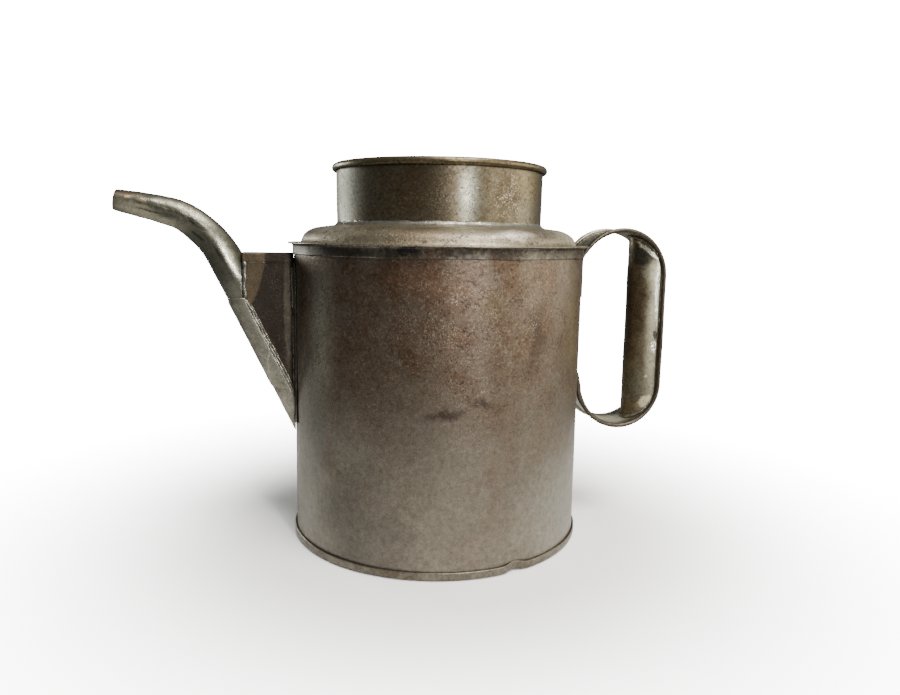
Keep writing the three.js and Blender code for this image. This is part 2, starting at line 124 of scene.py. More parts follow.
def even_line(fine, count):
    """Evenly spaced (point, direction) pairs along a fine line."""
    fine = [Vector(p) for p in fine]
    run = [0.0]
    for before, after in zip(fine, fine[1:]):
        run.append(run[-1] + (after - before).length)
    stations, k = [], 0
    for s in range(count + 1):
        goal = run[-1] * s / count
        while k < len(run) - 2 and run[k + 1] < goal:
            k += 1
        part = (goal - run[k]) / max(run[k + 1] - run[k], 1e-9)
        stations.append(fine[k].lerp(fine[k + 1], part))
    ends = [stations[0], *stations, stations[-1]]
    return [(p, (ends[k + 2] - ends[k]).normalized()) for k, p in enumerate(stations)]


def spun(outline, steps=288, rows=0, row_length=4 * MM):
    """A closed (radius, z) outline turned round the can's axis. Long runs get extra rows."""
    bm = bmesh.new()
    verts = [bm.verts.new((r, 0, z)) for r, z in outline]
    edges = [bm.edges.new(pair) for pair in zip(verts, verts[1:] + verts[:1])]
    if rows:
        long_runs = [e for e in edges if e.calc_length() > row_length]
        bmesh.ops.subdivide_edges(bm, edges=long_runs, cuts=rows)
    bmesh.ops.spin(bm, geom=bm.verts[:] + bm.edges[:], cent=(0, 0, 0), axis=(0, 0, 1),
                   angle=TURN, steps=steps, use_merge=True)
    bmesh.ops.remove_doubles(bm, verts=bm.verts, dist=1e-7)
    bmesh.ops.recalc_face_normals(bm, faces=bm.faces)
    return bm


def formed(across, along, place, wrap=False):
    """A flat grid bent to shape: place(u, v) gives the point for 0..1 across and along."""
    bm = bmesh.new()
    bmesh.ops.create_grid(bm, x_segments=across, y_segments=along, size=1)
    for vert in bm.verts:
        vert.co = place((vert.co.x + 1) / 2, (vert.co.y + 1) / 2)
    if wrap:
        bmesh.ops.remove_doubles(bm, verts=bm.verts, dist=1e-6)
    bmesh.ops.recalc_face_normals(bm, faces=bm.faces)
    return bm


def bead(line, width, height, normal, lumps, salt, per_mm=1.2):
    """A lumpy run of solder along a 3-D line, half sunk in the sheet; its size is in mm."""
    width, height = width * MM, height * MM
    fine = [Vector(p) for p in line]
    length = sum((b - a).length for a, b in zip(fine, fine[1:]))
    stations = even_line(fine, max(int(length / MM * per_mm), 8))
    up = Vector(normal).normalized()

    def place(u, v):
        point, direction = stations[round(v * (len(stations) - 1))]
        side = direction.cross(up).normalized()
        taper = min(ease(v, -0.02, 0.08), ease(v, 1.02, 0.92)) ** 0.5
        swell = 1 + uneven((v * length, salt * MM, 0), 2.4 * MM, lumps, salt)
        drift = uneven((v * length, 0, salt * MM), 5 * MM, 0.35 * width, salt + 3)
        angle = TURN * u
        ripple = 1 + uneven((v * length, 0.6 * width * math.cos(angle), 0), 0.9 * MM,
                            0.7 * lumps, salt + 7)
        return (point + side * (drift + 0.5 * width * taper * swell * math.cos(angle))
                + up * (height * taper * swell * ripple * math.sin(angle)))

    bm = formed(BEAD_SIDES, len(stations) - 1, place, wrap=True)
    close_ends(bm)
    return bm


def close_ends(bm):
    bmesh.ops.holes_fill(bm, edges=[e for e in bm.edges if e.is_boundary], sides=0)
    bmesh.ops.recalc_face_normals(bm, faces=bm.faces)


def joined(*parts):
    """Several meshes as one."""
    whole = bmesh.new()
    for part in parts:
        mesh = bpy.data.meshes.new("part")
        part.to_mesh(mesh)
        part.free()
        whole.from_mesh(mesh)
        bpy.data.meshes.remove(mesh)
    return whole


def placed(name, bm):
    """Makes an object of the mesh and puts it in the scene."""
    mesh = bpy.data.meshes.new(name)
    bm.to_mesh(mesh)
    bm.free()
    made = bpy.data.objects.new(name, mesh)
    bpy.context.scene.collection.objects.link(made)
    return made


def piece(name, bm, finish, node, wall=0.0, offset=-1.0, crease=35):
    """Makes the object, gives it its wall and finish, and ties it to its part of the can."""
    made = placed(name, bm)
    made.data.shade_smooth()
    made.data.set_sharp_from_angle(angle=math.radians(crease))
    made.data.materials.append(finish)
    if wall:
        shell = made.modifiers.new("wall", "SOLIDIFY")
        shell.thickness = wall
        shell.offset = offset
        shell.use_even_offset = True
    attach(made, "root")
    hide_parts(node)
    return made


def outward(point):
    """The level direction from the can's axis to a point."""
    return Vector((point.x, point.y, 0)).normalized()


def knock(point, radius, reach, inward, lift=0.0):
    """How far the dent in the base seam moves a point."""
    off = (math.atan2(point.y, point.x) - BENCH_DENT) * radius
    share = math.exp(-(off / reach) ** 2)
    return outward(point) * (-inward * share) + Vector((0, 0, lift * share))


# ---------------- finishes: node tools
def wire(tree, kind, inputs=None, **settings):
    """A shader node with its settings, its plain values and its links."""
    made = tree.nodes.new("ShaderNode" + kind)
    for key, value in settings.items():
        setattr(made, key, value)
    for key, value in (inputs or {}).items():
        if isinstance(value, bpy.types.NodeSocket):
            tree.links.new(value, made.inputs[key])
        else:
            made.inputs[key].default_value = value
    return made


def place_of(tree):
    return wire(tree, "TexCoord").outputs["Object"]


def math_of(tree, what, a, b, c=0.0):
    return wire(tree, "Math", {0: a, 1: b, 2: c}, operation=what).outputs[0]


def times(tree, a, b, plus=None):
    """a times b, with plus added if there is one."""
    if plus is None:
        return math_of(tree, "MULTIPLY", a, b)
    return math_of(tree, "MULTIPLY_ADD", a, b, plus)


def vector_of(tree, what, a, b):
    made = wire(tree, "VectorMath", {0: a, 1: b}, operation=what)
    return made.outputs["Value" if what == "LENGTH" else "Vector"]


def remap(tree, value, low, high, to_low=0.0, to_high=1.0):
    return wire(tree, "MapRange", {
        "Value": value, "From Min": low, "From Max": high, "To Min": to_low, "To Max": to_high,
    }, interpolation_type="SMOOTHSTEP").outputs["Result"]


def blend(tree, share, a, b):
    return wire(tree, "Mix", {0: share, 6: a, 7: b}, data_type="RGBA").outputs[2]


def grain(tree, place, scale, detail, rough, warp=0.0, give="Fac"):
    return wire(tree, "TexNoise", {
        "Vector": place, "Scale": scale, "Detail": detail, "Roughness": rough, "Distortion": warp,
    }).outputs[give]


def tone(red, green, blue):
    """A colour given as it looks on a screen, 0..255."""
    def linear(value):
        value /= 255
        return value / 12.92 if value <= 0.04045 else ((value + 0.055) / 1.055) ** 2.4
    return (linear(red), linear(green), linear(blue), 1.0)


FLOAT, VECTOR = "NodeSocketFloat", "NodeSocketVector"


def effect(name, inputs, outputs, build):
    """An effect as a node group with named inputs and outputs."""
    tree = bpy.data.node_groups.new(name, "ShaderNodeTree")
    for label, kind, value in inputs:
        socket = tree.interface.new_socket(label, in_out="INPUT", socket_type=kind)
        socket.default_value = value
    for label, kind in outputs:
        tree.interface.new_socket(label, in_out="OUTPUT", socket_type=kind)
    given = tree.nodes.new("NodeGroupInput").outputs
    result = tree.nodes.new("NodeGroupOutput").inputs
    for label, socket in build(tree, given).items():
        tree.links.new(socket, result[label])
    return tree


def use(tree, group, **values):
    """An effect placed in a material, with its own values."""
    return wire(tree, "Group", values, node_tree=group).outputs


# ---------------- finishes: effects
def build_patch(tree, given):
    """A ragged oval patch, used for stains and for painted light, shade and highlights."""
    place = place_of(tree)
    ragged = grain(tree, place, math_of(tree, "DIVIDE", 0.6, given["Ragged"]), 6.0, 0.68,
                   give="Color")
    push = vector_of(tree, "SUBTRACT", ragged, (0.5, 0.5, 0.5))
    swing = times(tree, given["Ragged"], 2.4)
    scaled = wire(tree, "VectorMath", {0: push, "Scale": swing}, operation="SCALE").outputs[0]
    moved = vector_of(tree, "ADD", place, scaled)
    from_centre = vector_of(tree, "SUBTRACT", moved, given["Centre"])
    from_centre = wire(tree, "VectorRotate", {
        "Vector": from_centre, "Rotation": given["Tilt"]}, rotation_type="EULER_XYZ").outputs[0]
    share = vector_of(tree, "LENGTH", vector_of(tree, "DIVIDE", from_centre, given["Reach"]),
                      (0, 0, 0))
    soft = math_of(tree, "SUBTRACT", 1.0, given["Softness"])
    return {"Mask": remap(tree, share, 1.0, soft)}


def build_mottle(tree, given):
    """Cloudy staining in two sizes, with a fine grain over it."""
    place = place_of(tree)
    scale = math_of(tree, "DIVIDE", 1.0, given["Size"])
    clouds = grain(tree, place, scale, 5.0, 0.6, warp=0.4)
    fine = grain(tree, place, times(tree, scale, 7.0), 5.0, 0.7)
    mixed = times(tree, fine, 0.42, times(tree, clouds, 0.58))
    low = math_of(tree, "SUBTRACT", given["Level"], given["Spread"])
    high = math_of(tree, "ADD", given["Level"], given["Spread"])
    return {"Mask": wire(tree, "MapRange", {
        "Value": mixed, "From Min": low, "From Max": high}).outputs["Result"]}


def build_specks(tree, given):
    """Pinprick rust pits and the bright grains between them."""
    place = place_of(tree)
    scale = math_of(tree, "DIVIDE", 1.0, given["Size"])
    tiny = grain(tree, place, scale, 3.0, 0.65)
    field = grain(tree, place, times(tree, scale, 0.11), 3.0, 0.6)
    level = times(tree, field, 0.35, tiny)
    pits = remap(tree, level, 0.72, 0.84)
    sparks = remap(tree, level, 0.60, 0.50)
    return {"Pits": times(tree, pits, given["Amount"]),
            "Sparks": times(tree, sparks, given["Amount"])}


def build_scratches(tree, given):
    """Thin rubbed lines, mostly upright or level, fading in and out."""
    place = place_of(tree)
    masks = []
    for stretch, turn in (((1, 1, 0.06), (0.3, 0.25, 0.0)), ((0.09, 0.09, 1), (0.35, 0.2, 0.4))):
        turned = wire(tree, "Mapping", {
            "Vector": place, "Rotation": turn, "Scale": stretch}).outputs[0]
        lines = grain(tree, turned, 1500.0, 3.0, 0.6)
        where = grain(tree, place, 60.0, 4.0, 0.7)
        thin = remap(tree, lines, 0.64, 0.72)
        masks.append(times(tree, thin, remap(tree, where, 0.52, 0.66)))
    both = math_of(tree, "MAXIMUM", masks[0], masks[1])
    return {"Mask": times(tree, both, given["Amount"])}


def build_grit(tree, given):
    """Fine grey-to-bright crystal grain over the whole sheet, about 1 in the middle."""
    place = place_of(tree)
    fine = grain(tree, place, 1500.0, 2.0, 0.7)
    coarse = grain(tree, place, 420.0, 4.0, 0.7)
    both = times(tree, coarse, 0.6, times(tree, fine, 0.4))
    swing = math_of(tree, "SUBTRACT", both, 0.5)
    return {"Gain": times(tree, swing, given["Contrast"], 1.0)}


def build_level(tree, given):
    """A soft change of finish with height, its line broken up."""
    place = place_of(tree)
    broken = grain(tree, place, 38.0, 5.0, 0.62)
    height = wire(tree, "SeparateXYZ", {0: place}).outputs["Z"]
    push = math_of(tree, "SUBTRACT", broken, 0.5)
    moved = times(tree, push, given["Ragged"], height)
    return {"Mask": remap(tree, moved, given["Low"], given["High"])}


PATCH = effect("stain_and_light_patch", [
    ("Centre", VECTOR, (0, 0, 0)), ("Reach", VECTOR, (0.01, 0.01, 0.01)),
    ("Tilt", VECTOR, (0, 0, 0)), ("Ragged", FLOAT, 0.01), ("Softness", FLOAT, 0.5)],
    [("Mask", FLOAT)], build_patch)
GRIT = effect("crystal_grit", [("Contrast", FLOAT, 1.0)], [("Gain", FLOAT)], build_grit)
MOTTLE = effect("mottled_stain", [
    ("Size", FLOAT, 0.03), ("Level", FLOAT, 0.5), ("Spread", FLOAT, 0.15)],
    [("Mask", FLOAT)], build_mottle)
SPECKS = effect("rust_specks", [("Size", FLOAT, 0.001), ("Amount", FLOAT, 1.0)],
                [("Pits", FLOAT), ("Sparks", FLOAT)], build_specks)
SCRATCHES = effect("rubbed_lines", [("Amount", FLOAT, 1.0)], [("Mask", FLOAT)], build_scratches)
LEVEL = effect("tide_mark", [
    ("Low", FLOAT, 0.0), ("High", FLOAT, 0.1), ("Ragged", FLOAT, 0.03)],
    [("Mask", FLOAT)], build_level)


# ---------------- finishes: the metals
METAL_SHARE = 0.8
OIL_ROUGHNESS = 0.34


def patch_at(tree, centre, reach, tilt=0, ragged=6, softness=1.0):
    """Where one patch of stain, painted light or painted shade lies: millimetres, and degrees of
    tilt seen from the front.
    """
    return use(tree, PATCH, Centre=[c * MM for c in centre], Reach=[r * MM for r in reach],
               Tilt=(0, math.radians(tilt), 0), Ragged=ragged * MM, Softness=softness)["Mask"]


def mottled(tree, size, level, spread):
    return use(tree, MOTTLE, Size=size, Level=level, Spread=spread)["Mask"]


def tin_finish(name, light, dark, rust, stain, rusting=(0.016, 0.60, 0.07), specks=(0.0011, 0.4),
               grit=1.4, scratched=0.3, gloss=(0.34, 0.58), oil=0.25, relief=0.12, patches=(),
               upper=None, grains_and_glints=()):
    """Aged tinplate: light metal, darker stain, rust, patches, then specks and scratches.

    Colours are 0..255, as they look on a screen.
    stain and rusting are (size m, level, spread); gloss is roughness, clean then stained.
    patches are (centre mm, reach mm, tilt degrees, ragged mm, softness, colour, share, roughness);
    besides stains, some are painted light, shade and highlights.
    upper is (low mm, high mm, colour, share), a stain that starts at a level.
    The last argument is (centre mm, reach mm, share): where grains of tin show through the stain,
    with painted glints on them.
    """
    finish = bpy.data.materials.new(name)
    finish.use_nodes = True
    tree = finish.node_tree
    shader = tree.nodes["Principled BSDF"]
    stained = mottled(tree, *stain)
    colour = blend(tree, stained, tone(*light), tone(*dark))
    speckled = specks[1]
    if upper:
        low, high, high_tone, share = upper
        raised = use(tree, LEVEL, Low=low * MM, High=high * MM, Ragged=60 * MM)["Mask"]
        broken = times(tree, mottled(tree, 0.012, 0.5, 0.1), 0.55, 0.45)
        amount = times(tree, times(tree, raised, broken), share)
        colour = blend(tree, amount, colour, tone(*high_tone))
        speckled = times(tree, times(tree, amount, 0.8, 0.25), specks[1])
    rusted = mottled(tree, *rusting)
    colour = blend(tree, times(tree, rusted, 0.8), colour, tone(*rust))
    rough = remap(tree, stained, 0.0, 1.0, gloss[0], gloss[1])
    rough = times(tree, rusted, 0.12, rough)
    for *where, patch_tone, share, patch_rough in patches:
        mask = times(tree, patch_at(tree, *where), share)
        colour = blend(tree, mask, colour, tone(*patch_tone))
        rough = wire(tree, "Mix", {0: mask, 2: rough, 3: patch_rough}).outputs[0]
    gain = use(tree, GRIT, Contrast=grit)["Gain"]
    colour = vector_of(tree, "MULTIPLY", colour, wire(
        tree, "CombineXYZ", {0: gain, 1: gain, 2: gain}).outputs[0])
    marks = use(tree, SPECKS, Size=specks[0], Amount=speckled)
    colour = blend(tree, marks["Pits"], colour, tone(34, 25, 18))
    colour = blend(tree, times(tree, marks["Sparks"], 0.5), colour, tone(150, 138, 120))
    # specks of tin grain, painted brighter as glints, in the given areas
    for *where, share in grains_and_glints:
        area = patch_at(tree, *where)
        grain_and_glint_specks = use(tree, SPECKS, Size=0.00062, Amount=times(tree, area, share))
        colour = blend(tree, grain_and_glint_specks["Sparks"], colour, tone(190, 178, 160))
        rough = times(tree, grain_and_glint_specks["Sparks"], -0.12, rough)
    lines = use(tree, SCRATCHES, Amount=scratched)["Mask"]
    colour = blend(tree, times(tree, lines, 0.35), colour, tone(176, 170, 154))
    tree.links.new(colour, shader.inputs["Base Color"])
    worn = times(tree, marks["Pits"], 0.25, rough)
    tree.links.new(times(tree, lines, -0.1, worn), shader.inputs["Roughness"])
    shader.inputs["Metallic"].default_value = METAL_SHARE
    shader.inputs["Coat Weight"].default_value = oil
    shader.inputs["Coat Roughness"].default_value = OIL_ROUGHNESS
    skin = grain(tree, place_of(tree), 620.0, 5.0, 0.68)
    dull = times(tree, rusted, 0.5, skin)
    height = times(tree, marks["Pits"], -0.6, dull)
    height = times(tree, marks["Sparks"], 0.35, height)
    bump = wire(tree, "Bump", {"Strength": relief, "Distance": 0.6 * MM, "Height": height})
    tree.links.new(bump.outputs[0], shader.inputs["Normal"])
    return finish


RUST = (84, 50, 30)
DARK_RUST = (40, 27, 18)
BLACK = (22, 21, 20)
# near-white: uncovered tin and solder, also used for painted highlights
BARE_TIN_AND_HIGHLIGHT = (232, 230, 212)
SOOT = (30, 28, 25)
JOINT_TONE = (138, 136, 121)

body_finish = tin_finish(
    "body_tin", (120, 113, 101), (97, 88, 77), (94, 76, 60), stain=(0.05, 0.5, 0.16),
    rusting=(0.03, 0.60, 0.10), specks=(0.0012, 0.85), grit=2.0, gloss=(0.34, 0.46), relief=0.2,
    scratched=0.1, oil=0.4, upper=(46, 112, (82, 60, 41), 1.0),
    patches=[
        ((-10, -76, 79), (17, 20, 4), 8, 4, 0.9, DARK_RUST, 0.85, 0.6),
        ((6, -76, 84), (13, 20, 3), -10, 4, 0.9, DARK_RUST, 0.7, 0.6),
        ((34, -69, 112), (7, 14, 22), 0, 5, 1.0, (56, 36, 20), 0.85, 0.55),
        ((-20, -70, 138), (34, 20, 14), 0, 10, 1.0, (104, 70, 46), 0.5, 0.44),
        ((-66, -38, 60), (8, 14, 44), 0, 12, 0.9, (90, 94, 86), 0.5, 0.34),
        # painted shade low on the left side, and painted floor reflection low on the right side
        ((-50, -54, 18), (34, 38, 44), 0, 24, 0.95, (78, 74, 66), 0.8, 0.44),
        ((48, -58, 22), (40, 40, 40), 0, 24, 0.95, (132, 128, 116), 0.65, 0.36),
        ((-75, -14, 116), (7, 14, 50), 0, 4, 0.7, (112, 106, 90), 0.6, 0.42),
        # painted highlight: an upright light band near the left edge
        ((-64, -42, 116), (14, 16, 46), 0, 5, 1.0, (146, 141, 123), 0.85, 0.38),
        ((62, -44, 112), (20, 30, 42), 0, 9, 0.9, (112, 98, 62), 0.55, 0.4),
        ((10, -74, 128), (12, 20, 12), 0, 6, 1.0, (92, 76, 44), 0.5, 0.42),
    ],
    grains_and_glints=[((-10, -72, 122), (70, 40, 44), 0.5), ((34, -66, 128), (24, 20, 26), 0.4),
             ((0, -76, 88), (26, 20, 12), 0.4)])
base_finish = tin_finish("base_tin", (118, 113, 100), (72, 63, 52), RUST,
                         stain=(0.012, 0.5, 0.14), gloss=(0.26, 0.44))
band_finish = tin_finish(
    "band_tin", (108, 104, 92), (52, 46, 38), RUST, stain=(0.012, 0.46, 0.10),
    patches=[
        ((-27, -72, 152), (6, 8, 2.6), 0, 3, 0.4, BLACK, 0.9, 0.5),
        ((-56, -52, 151), (26, 26, 2.4), 0, 3, 0.5, (46, 41, 33), 0.8, 0.5),
    ])
breast_finish = tin_finish(
    "breast_tin", (140, 131, 110), (108, 96, 76), (112, 78, 50),
    stain=(0.018, 0.5, 0.16), rusting=(0.014, 0.64, 0.08), specks=(0.0011, 0.8), grit=2.4,
    gloss=(0.3, 0.46), relief=0.34, oil=0.4,
    patches=[
        # painted highlights on the dome: a near-white hot spot at the front right, and painted
        # light to its right and on the left
        ((24, -66, 160), (14, 12, 4), 0, 4, 0.8, (236, 228, 208), 0.8, 0.28),
        ((58, -34, 160), (24, 34, 7), 0, 5, 0.8, (220, 209, 180), 0.85, 0.34),
        ((-58, -38, 160), (22, 34, 6), 0, 6, 0.9, (176, 166, 142), 0.7, 0.38),
        ((-20, -68, 160), (30, 14, 5), 0, 7, 1.0, (112, 92, 66), 0.5, 0.42),
    ],
    grains_and_glints=[((16, -66, 160), (34, 24, 8), 1.0), ((-30, -60, 160), (30, 20, 8), 0.5)])
neck_finish = tin_finish(
    "neck_tin", (110, 105, 88), (86, 76, 58), (74, 58, 38),
    stain=(0.03, 0.46, 0.14), gloss=(0.24, 0.36), relief=0.1, specks=(0.0012, 0.6), grit=2.2,
    oil=0.08,
    patches=[
        ((-24, -48, 178), (20, 20, 17), 0, 14, 0.9, (84, 68, 46), 0.8, 0.32),
        ((26, -47, 179), (16, 18, 18), 0, 7, 0.9, (72, 60, 44), 0.75, 0.42),
        # painted shade down the neck's left side
        ((-50, -24, 180), (15, 24, 24), 0, 5, 0.8, (68, 68, 58), 0.9, 0.5),
        # painted highlight on the front of the neck
        ((4, -54, 178), (8, 12, 20), 0, 3, 0.9, (142, 143, 130), 0.7, 0.24),
        ((0, 0, 193.4), (90, 90, 3.4), 0, 1, 0.2, (98, 86, 62), 0.85, 0.34),
        ((38, -38, 184), (16, 20, 12), 0, 6, 0.9, (112, 98, 60), 0.6, 0.38),
    ],
    grains_and_glints=[((25, -48, 178), (24, 26, 18), 1.0), ((-8, -54, 178), (26, 14, 16), 0.5)])
spout_finish = tin_finish(
    "spout_tin", (114, 114, 99), (82, 80, 67), (84, 68, 48),
    stain=(0.014, 0.5, 0.13), rusting=(0.012, 0.62, 0.06), gloss=(0.24, 0.38), relief=0.14,
    oil=0.1,
    patches=[
        # painted highlight along the pipe's underside
        ((-142, -4, 164), (26, 9, 5), -12, 3, 0.8, (164, 158, 136), 0.75, 0.34),
        ((-107, -2, 127), (15, 14, 13), 0, 2, 0.7, JOINT_TONE, 0.95, 0.34),
        ((-158, 0, 178), (26, 12, 6), 0, 4, 0.8, (66, 48, 32), 0.9, 0.48),
        # painted highlight under the tip
        ((-151, -4, 170), (15, 9, 3.6), -14, 2, 0.8, (196, 188, 162), 0.8, 0.34),
        ((-134, 0, 179), (30, 12, 7), -20, 5, 0.8, (82, 66, 46), 0.85, 0.45),
        ((-107, 0, 162), (24, 12, 8), -46, 3, 0.8, (76, 70, 54), 0.85, 0.42),
        ((-122.8, -5, 162.8), (8, 8, 1.6), -37, 0.8, 0.4, BLACK, 0.85, 0.5),
        ((-122.5, -5, 156.8), (5.5, 8, 0.9), -38, 0.8, 0.5, BLACK, 0.7, 0.5),
        ((-112.2, -6, 148), (9, 8, 0.9), -58, 1.4, 0.6, BLACK, 0.7, 0.5),
        ((-144.6, -5, 168.6), (9, 8, 0.5), -14, 1.2, 0.5, BLACK, 0.75, 0.5),
        # three small painted highlights near the tip
        ((-154.7, -5, 175), (2, 6, 0.8), -15, 1.5, 0.7, (190, 156, 120), 0.7, 0.3),
        ((-147.9, -5, 173.2), (4, 6, 1), -15, 1.5, 0.7, (190, 156, 120), 0.7, 0.3),
        ((-136.6, -5, 170), (3, 6, 0.6), -18, 1.5, 0.7, (180, 150, 116), 0.7, 0.3),
        # painted highlight over light solder at the pipe's foot
        ((-107.5, -6, 145.7), (2.6, 8, 16), 25, 1.5, 0.9, BARE_TIN_AND_HIGHLIGHT, 0.75, 0.22),
    ])
nose_finish = tin_finish(
    "nose_tin", (168, 165, 150), (124, 120, 106), (104, 84, 60),
    stain=(0.012, 0.48, 0.13), rusting=(0.012, 0.62, 0.06), gloss=(0.26, 0.4), relief=0.14,
    oil=0.1,
    patches=[((-107, -2, 127), (15, 14, 13), 0, 2, 0.7, JOINT_TONE, 0.95, 0.34)])
cheek_finish = tin_finish(
    "cheek_tin", (48, 40, 32), (36, 29, 23), (44, 31, 21), stain=(0.014, 0.5, 0.16),
    specks=(0.0009, 0.25), grit=1.6, gloss=(0.38, 0.55), relief=0.14, scratched=0.15, oil=0.12,
    patches=[
        # painted light: a lighter area at the cheek's left, and a lighter upright strip of painted
        # reflection at its right
        ((-98.6, -7, 137), (7, 6, 22), -16, 0.9, 0.15, (84, 72, 54), 0.85, 0.45),
        ((-79.6, -7, 120), (2.4, 6, 40), 0, 1.5, 0.5, (84, 78, 67), 0.7, 0.45),
        ((-75.4, -11, 116), (3, 9, 48), 0, 1.5, 0.5, (104, 97, 80), 0.85, 0.42),
    ])
handle_finish = tin_finish(
    "handle_tin", (142, 138, 120), (104, 98, 80), (80, 62, 42),
    stain=(0.016, 0.54, 0.13), gloss=(0.28, 0.46),
    patches=[
        ((100, -12.8, 110), (200, 1.7, 200), 0, 0.8, 0.4, (56, 47, 34), 0.9, 0.45),
        ((100, 12.8, 110), (200, 1.7, 200), 0, 0.8, 0.4, (66, 55, 40), 0.85, 0.42),
        # painted light on the upward-facing bottom of the loop
        ((100, 0, 56), (22, 11.5, 8), 0, 3, 0.6, (232, 228, 200), 0.9, 0.36),
    ])
grip_finish = tin_finish(
    "grip_tin", (126, 115, 90), (84, 73, 52), (60, 45, 28),
    stain=(0.016, 0.48, 0.14), rusting=(0.01, 0.55, 0.09), gloss=(0.3, 0.46), relief=0.2,
    patches=[
        # painted light down the grip's lit side
        ((125, -12, 108), (10.5, 9, 66), 0, 2.4, 0.6, (158, 154, 132), 0.85, 0.34),
        # painted shadow cast by the edge bead on the top of the grip
        ((114, -7, 149.5), (11, 10, 5.5), -42, 1.5, 0.4, (56, 56, 47), 0.9, 0.4),
        ((114, -8, 76), (12, 12, 15), 0, 3, 0.9, (104, 104, 88), 0.65, 0.4),
        ((120, -9, 141), (7, 8, 8), -30, 2, 0.6, (158, 154, 130), 0.8, 0.35),
        ((116, -10, 153.5), (12, 8, 1.2), -42, 1.4, 0.4, BARE_TIN_AND_HIGHLIGHT, 0.9, 0.26),
        # painted highlight along a streak of uncovered tin
        ((123.6, -11, 128), (2.4, 6, 23), 3, 1.6, 0.4, BARE_TIN_AND_HIGHLIGHT, 0.95, 0.22),
        ((122.4, -10, 99), (1.9, 5, 3.8), 0, 0.9, 0.3, BARE_TIN_AND_HIGHLIGHT, 0.95, 0.22),
        ((123, -10, 105.5), (1.6, 5, 3), 20, 1.4, 0.4, SOOT, 0.85, 0.4),
        ((120, -9, 67.5), (6, 8, 4.2), 42, 2.2, 0.5, (206, 196, 160), 0.95, 0.3),
        ((119, -8, 82), (1, 5, 1.2), 0, 0.8, 0.4, (196, 180, 140), 0.9, 0.32),
    ])
solder_finish = tin_finish(
    "old_solder", (156, 154, 142), (92, 88, 78), (76, 67, 52),
    stain=(0.004, 0.5, 0.14), rusting=(0.005, 0.62, 0.06), gloss=(0.22, 0.42), relief=0.3)
wire_finish = tin_finish("iron_wire", (84, 74, 60), (50, 42, 32), RUST,
                         stain=(0.006, 0.5, 0.12))


# ---------------- body
def make_body():
    inside = BODY_RADIUS - SHEET
    low = 2.4 * MM
    bm = spun([
        (inside, low), (BODY_RADIUS + 0.35 * MM, low), (BODY_RADIUS + 0.4 * MM, 3.4 * MM),
        (BODY_RADIUS, 3.7 * MM), (BODY_RADIUS, BODY_HEIGHT), (inside, BODY_HEIGHT),
    ], rows=70)
    for vert in bm.verts:
        point = vert.co
        angle = math.atan2(point.y, point.x)
        middle = ease(point.z, 4 * MM, 22 * MM) * ease(point.z, 148 * MM, 132 * MM)
        swell = uneven(point, 42 * MM, 0.22 * MM) + uneven(point, 13 * MM, 0.05 * MM, 5)
        lock = 0.32 * MM * ease(abs(angle) * BODY_RADIUS, 3.2 * MM, 2.6 * MM)
        lock *= ease(point.z, 4.5 * MM, 6 * MM) * ease(point.z, 148.4 * MM, 147 * MM)
        vert.co = point + outward(point) * (swell * middle + lock)
        fade = ease(point.z, 13 * MM, 4 * MM)
        vert.co += knock(vert.co, BODY_RADIUS, 7 * MM, 1.0 * MM * fade)
    made = piece("body_wall", bm, body_finish, "body_shell")
    strainer(made)


HOLES = 5
HOLE_RADIUS = 3.5 * MM
HOLE_PITCH = 12 * MM
LOWEST_HOLE = BOOT_TOP - 75.2 * MM


def strainer(wall):
    """Drills the holes that let oil through to the spout."""
    bm = bmesh.new()
    for hole in range(HOLES):
        height = LOWEST_HOLE + hole * HOLE_PITCH
        spot = Matrix.Translation((-BODY_RADIUS, 0, height))
        bmesh.ops.create_cone(bm, cap_ends=True, segments=24, radius1=HOLE_RADIUS,
                              radius2=HOLE_RADIUS, depth=8 * MM,
                              matrix=spot @ Matrix.Rotation(math.pi / 2, 4, "Y"))
    drill = placed("strainer_drill", bm)
    cut = wall.modifiers.new("strainer", "BOOLEAN")
    cut.operation = "DIFFERENCE"
    cut.object = drill
    cut.solver = "EXACT"
    graph = bpy.context.evaluated_depsgraph_get()
    drilled = bpy.data.meshes.new_from_object(wall.evaluated_get(graph))
    wall.modifiers.remove(cut)
    wall.data = drilled
    bpy.data.objects.remove(drill)


def make_base():
    r, top = HOOP_RADIUS, HOOP_HEIGHT
    outline = [(0, 0), (61 * MM, 0), (62 * MM, 0.5 * MM), (63 * MM, 0)]
    outline += [(r - 2.1 * MM, 0)]
    outline += arc((r - 1.9 * MM, 1.9 * MM), 1.9 * MM, -80, 0, 7)
    outline += [(r, 2.6 * MM), (r - 0.12 * MM, 3.2 * MM)]
    outline += arc((r - 0.45 * MM, top - 0.4 * MM), 0.4 * MM, 10, 180, 7)
    outline += [(r - 0.85 * MM, 2.2 * MM), (r - 2.4 * MM, 0.6 * MM), (64 * MM, 0.6 * MM),
                (62 * MM, 1.1 * MM), (60 * MM, 0.6 * MM), (0, 0.6 * MM)]
    bm = spun(outline)
    for vert in bm.verts:
        point = vert.co
        radius = math.hypot(point.x, point.y)
        if radius < 70 * MM:
            continue
        share = ease(radius, 71 * MM, 75 * MM)
        wave = 0.12 * MM * (noise.noise(point / (9 * MM)) - 1) * share
        lift = 0.08 * MM * (1 + noise.noise(point / (14 * MM)))
        dent = knock(point, radius, 4.2 * MM, 1.5 * MM * share, 1.2 * MM * share)
        vert.co = point + outward(point) * wave + dent
        vert.co.z = max(vert.co.z + (lift if point.z > 2 * MM else 0), 0.0)
        vert.co.z = min(vert.co.z, top + 1.2 * MM)
    piece("base_pan", bm, base_finish, "base_disc")


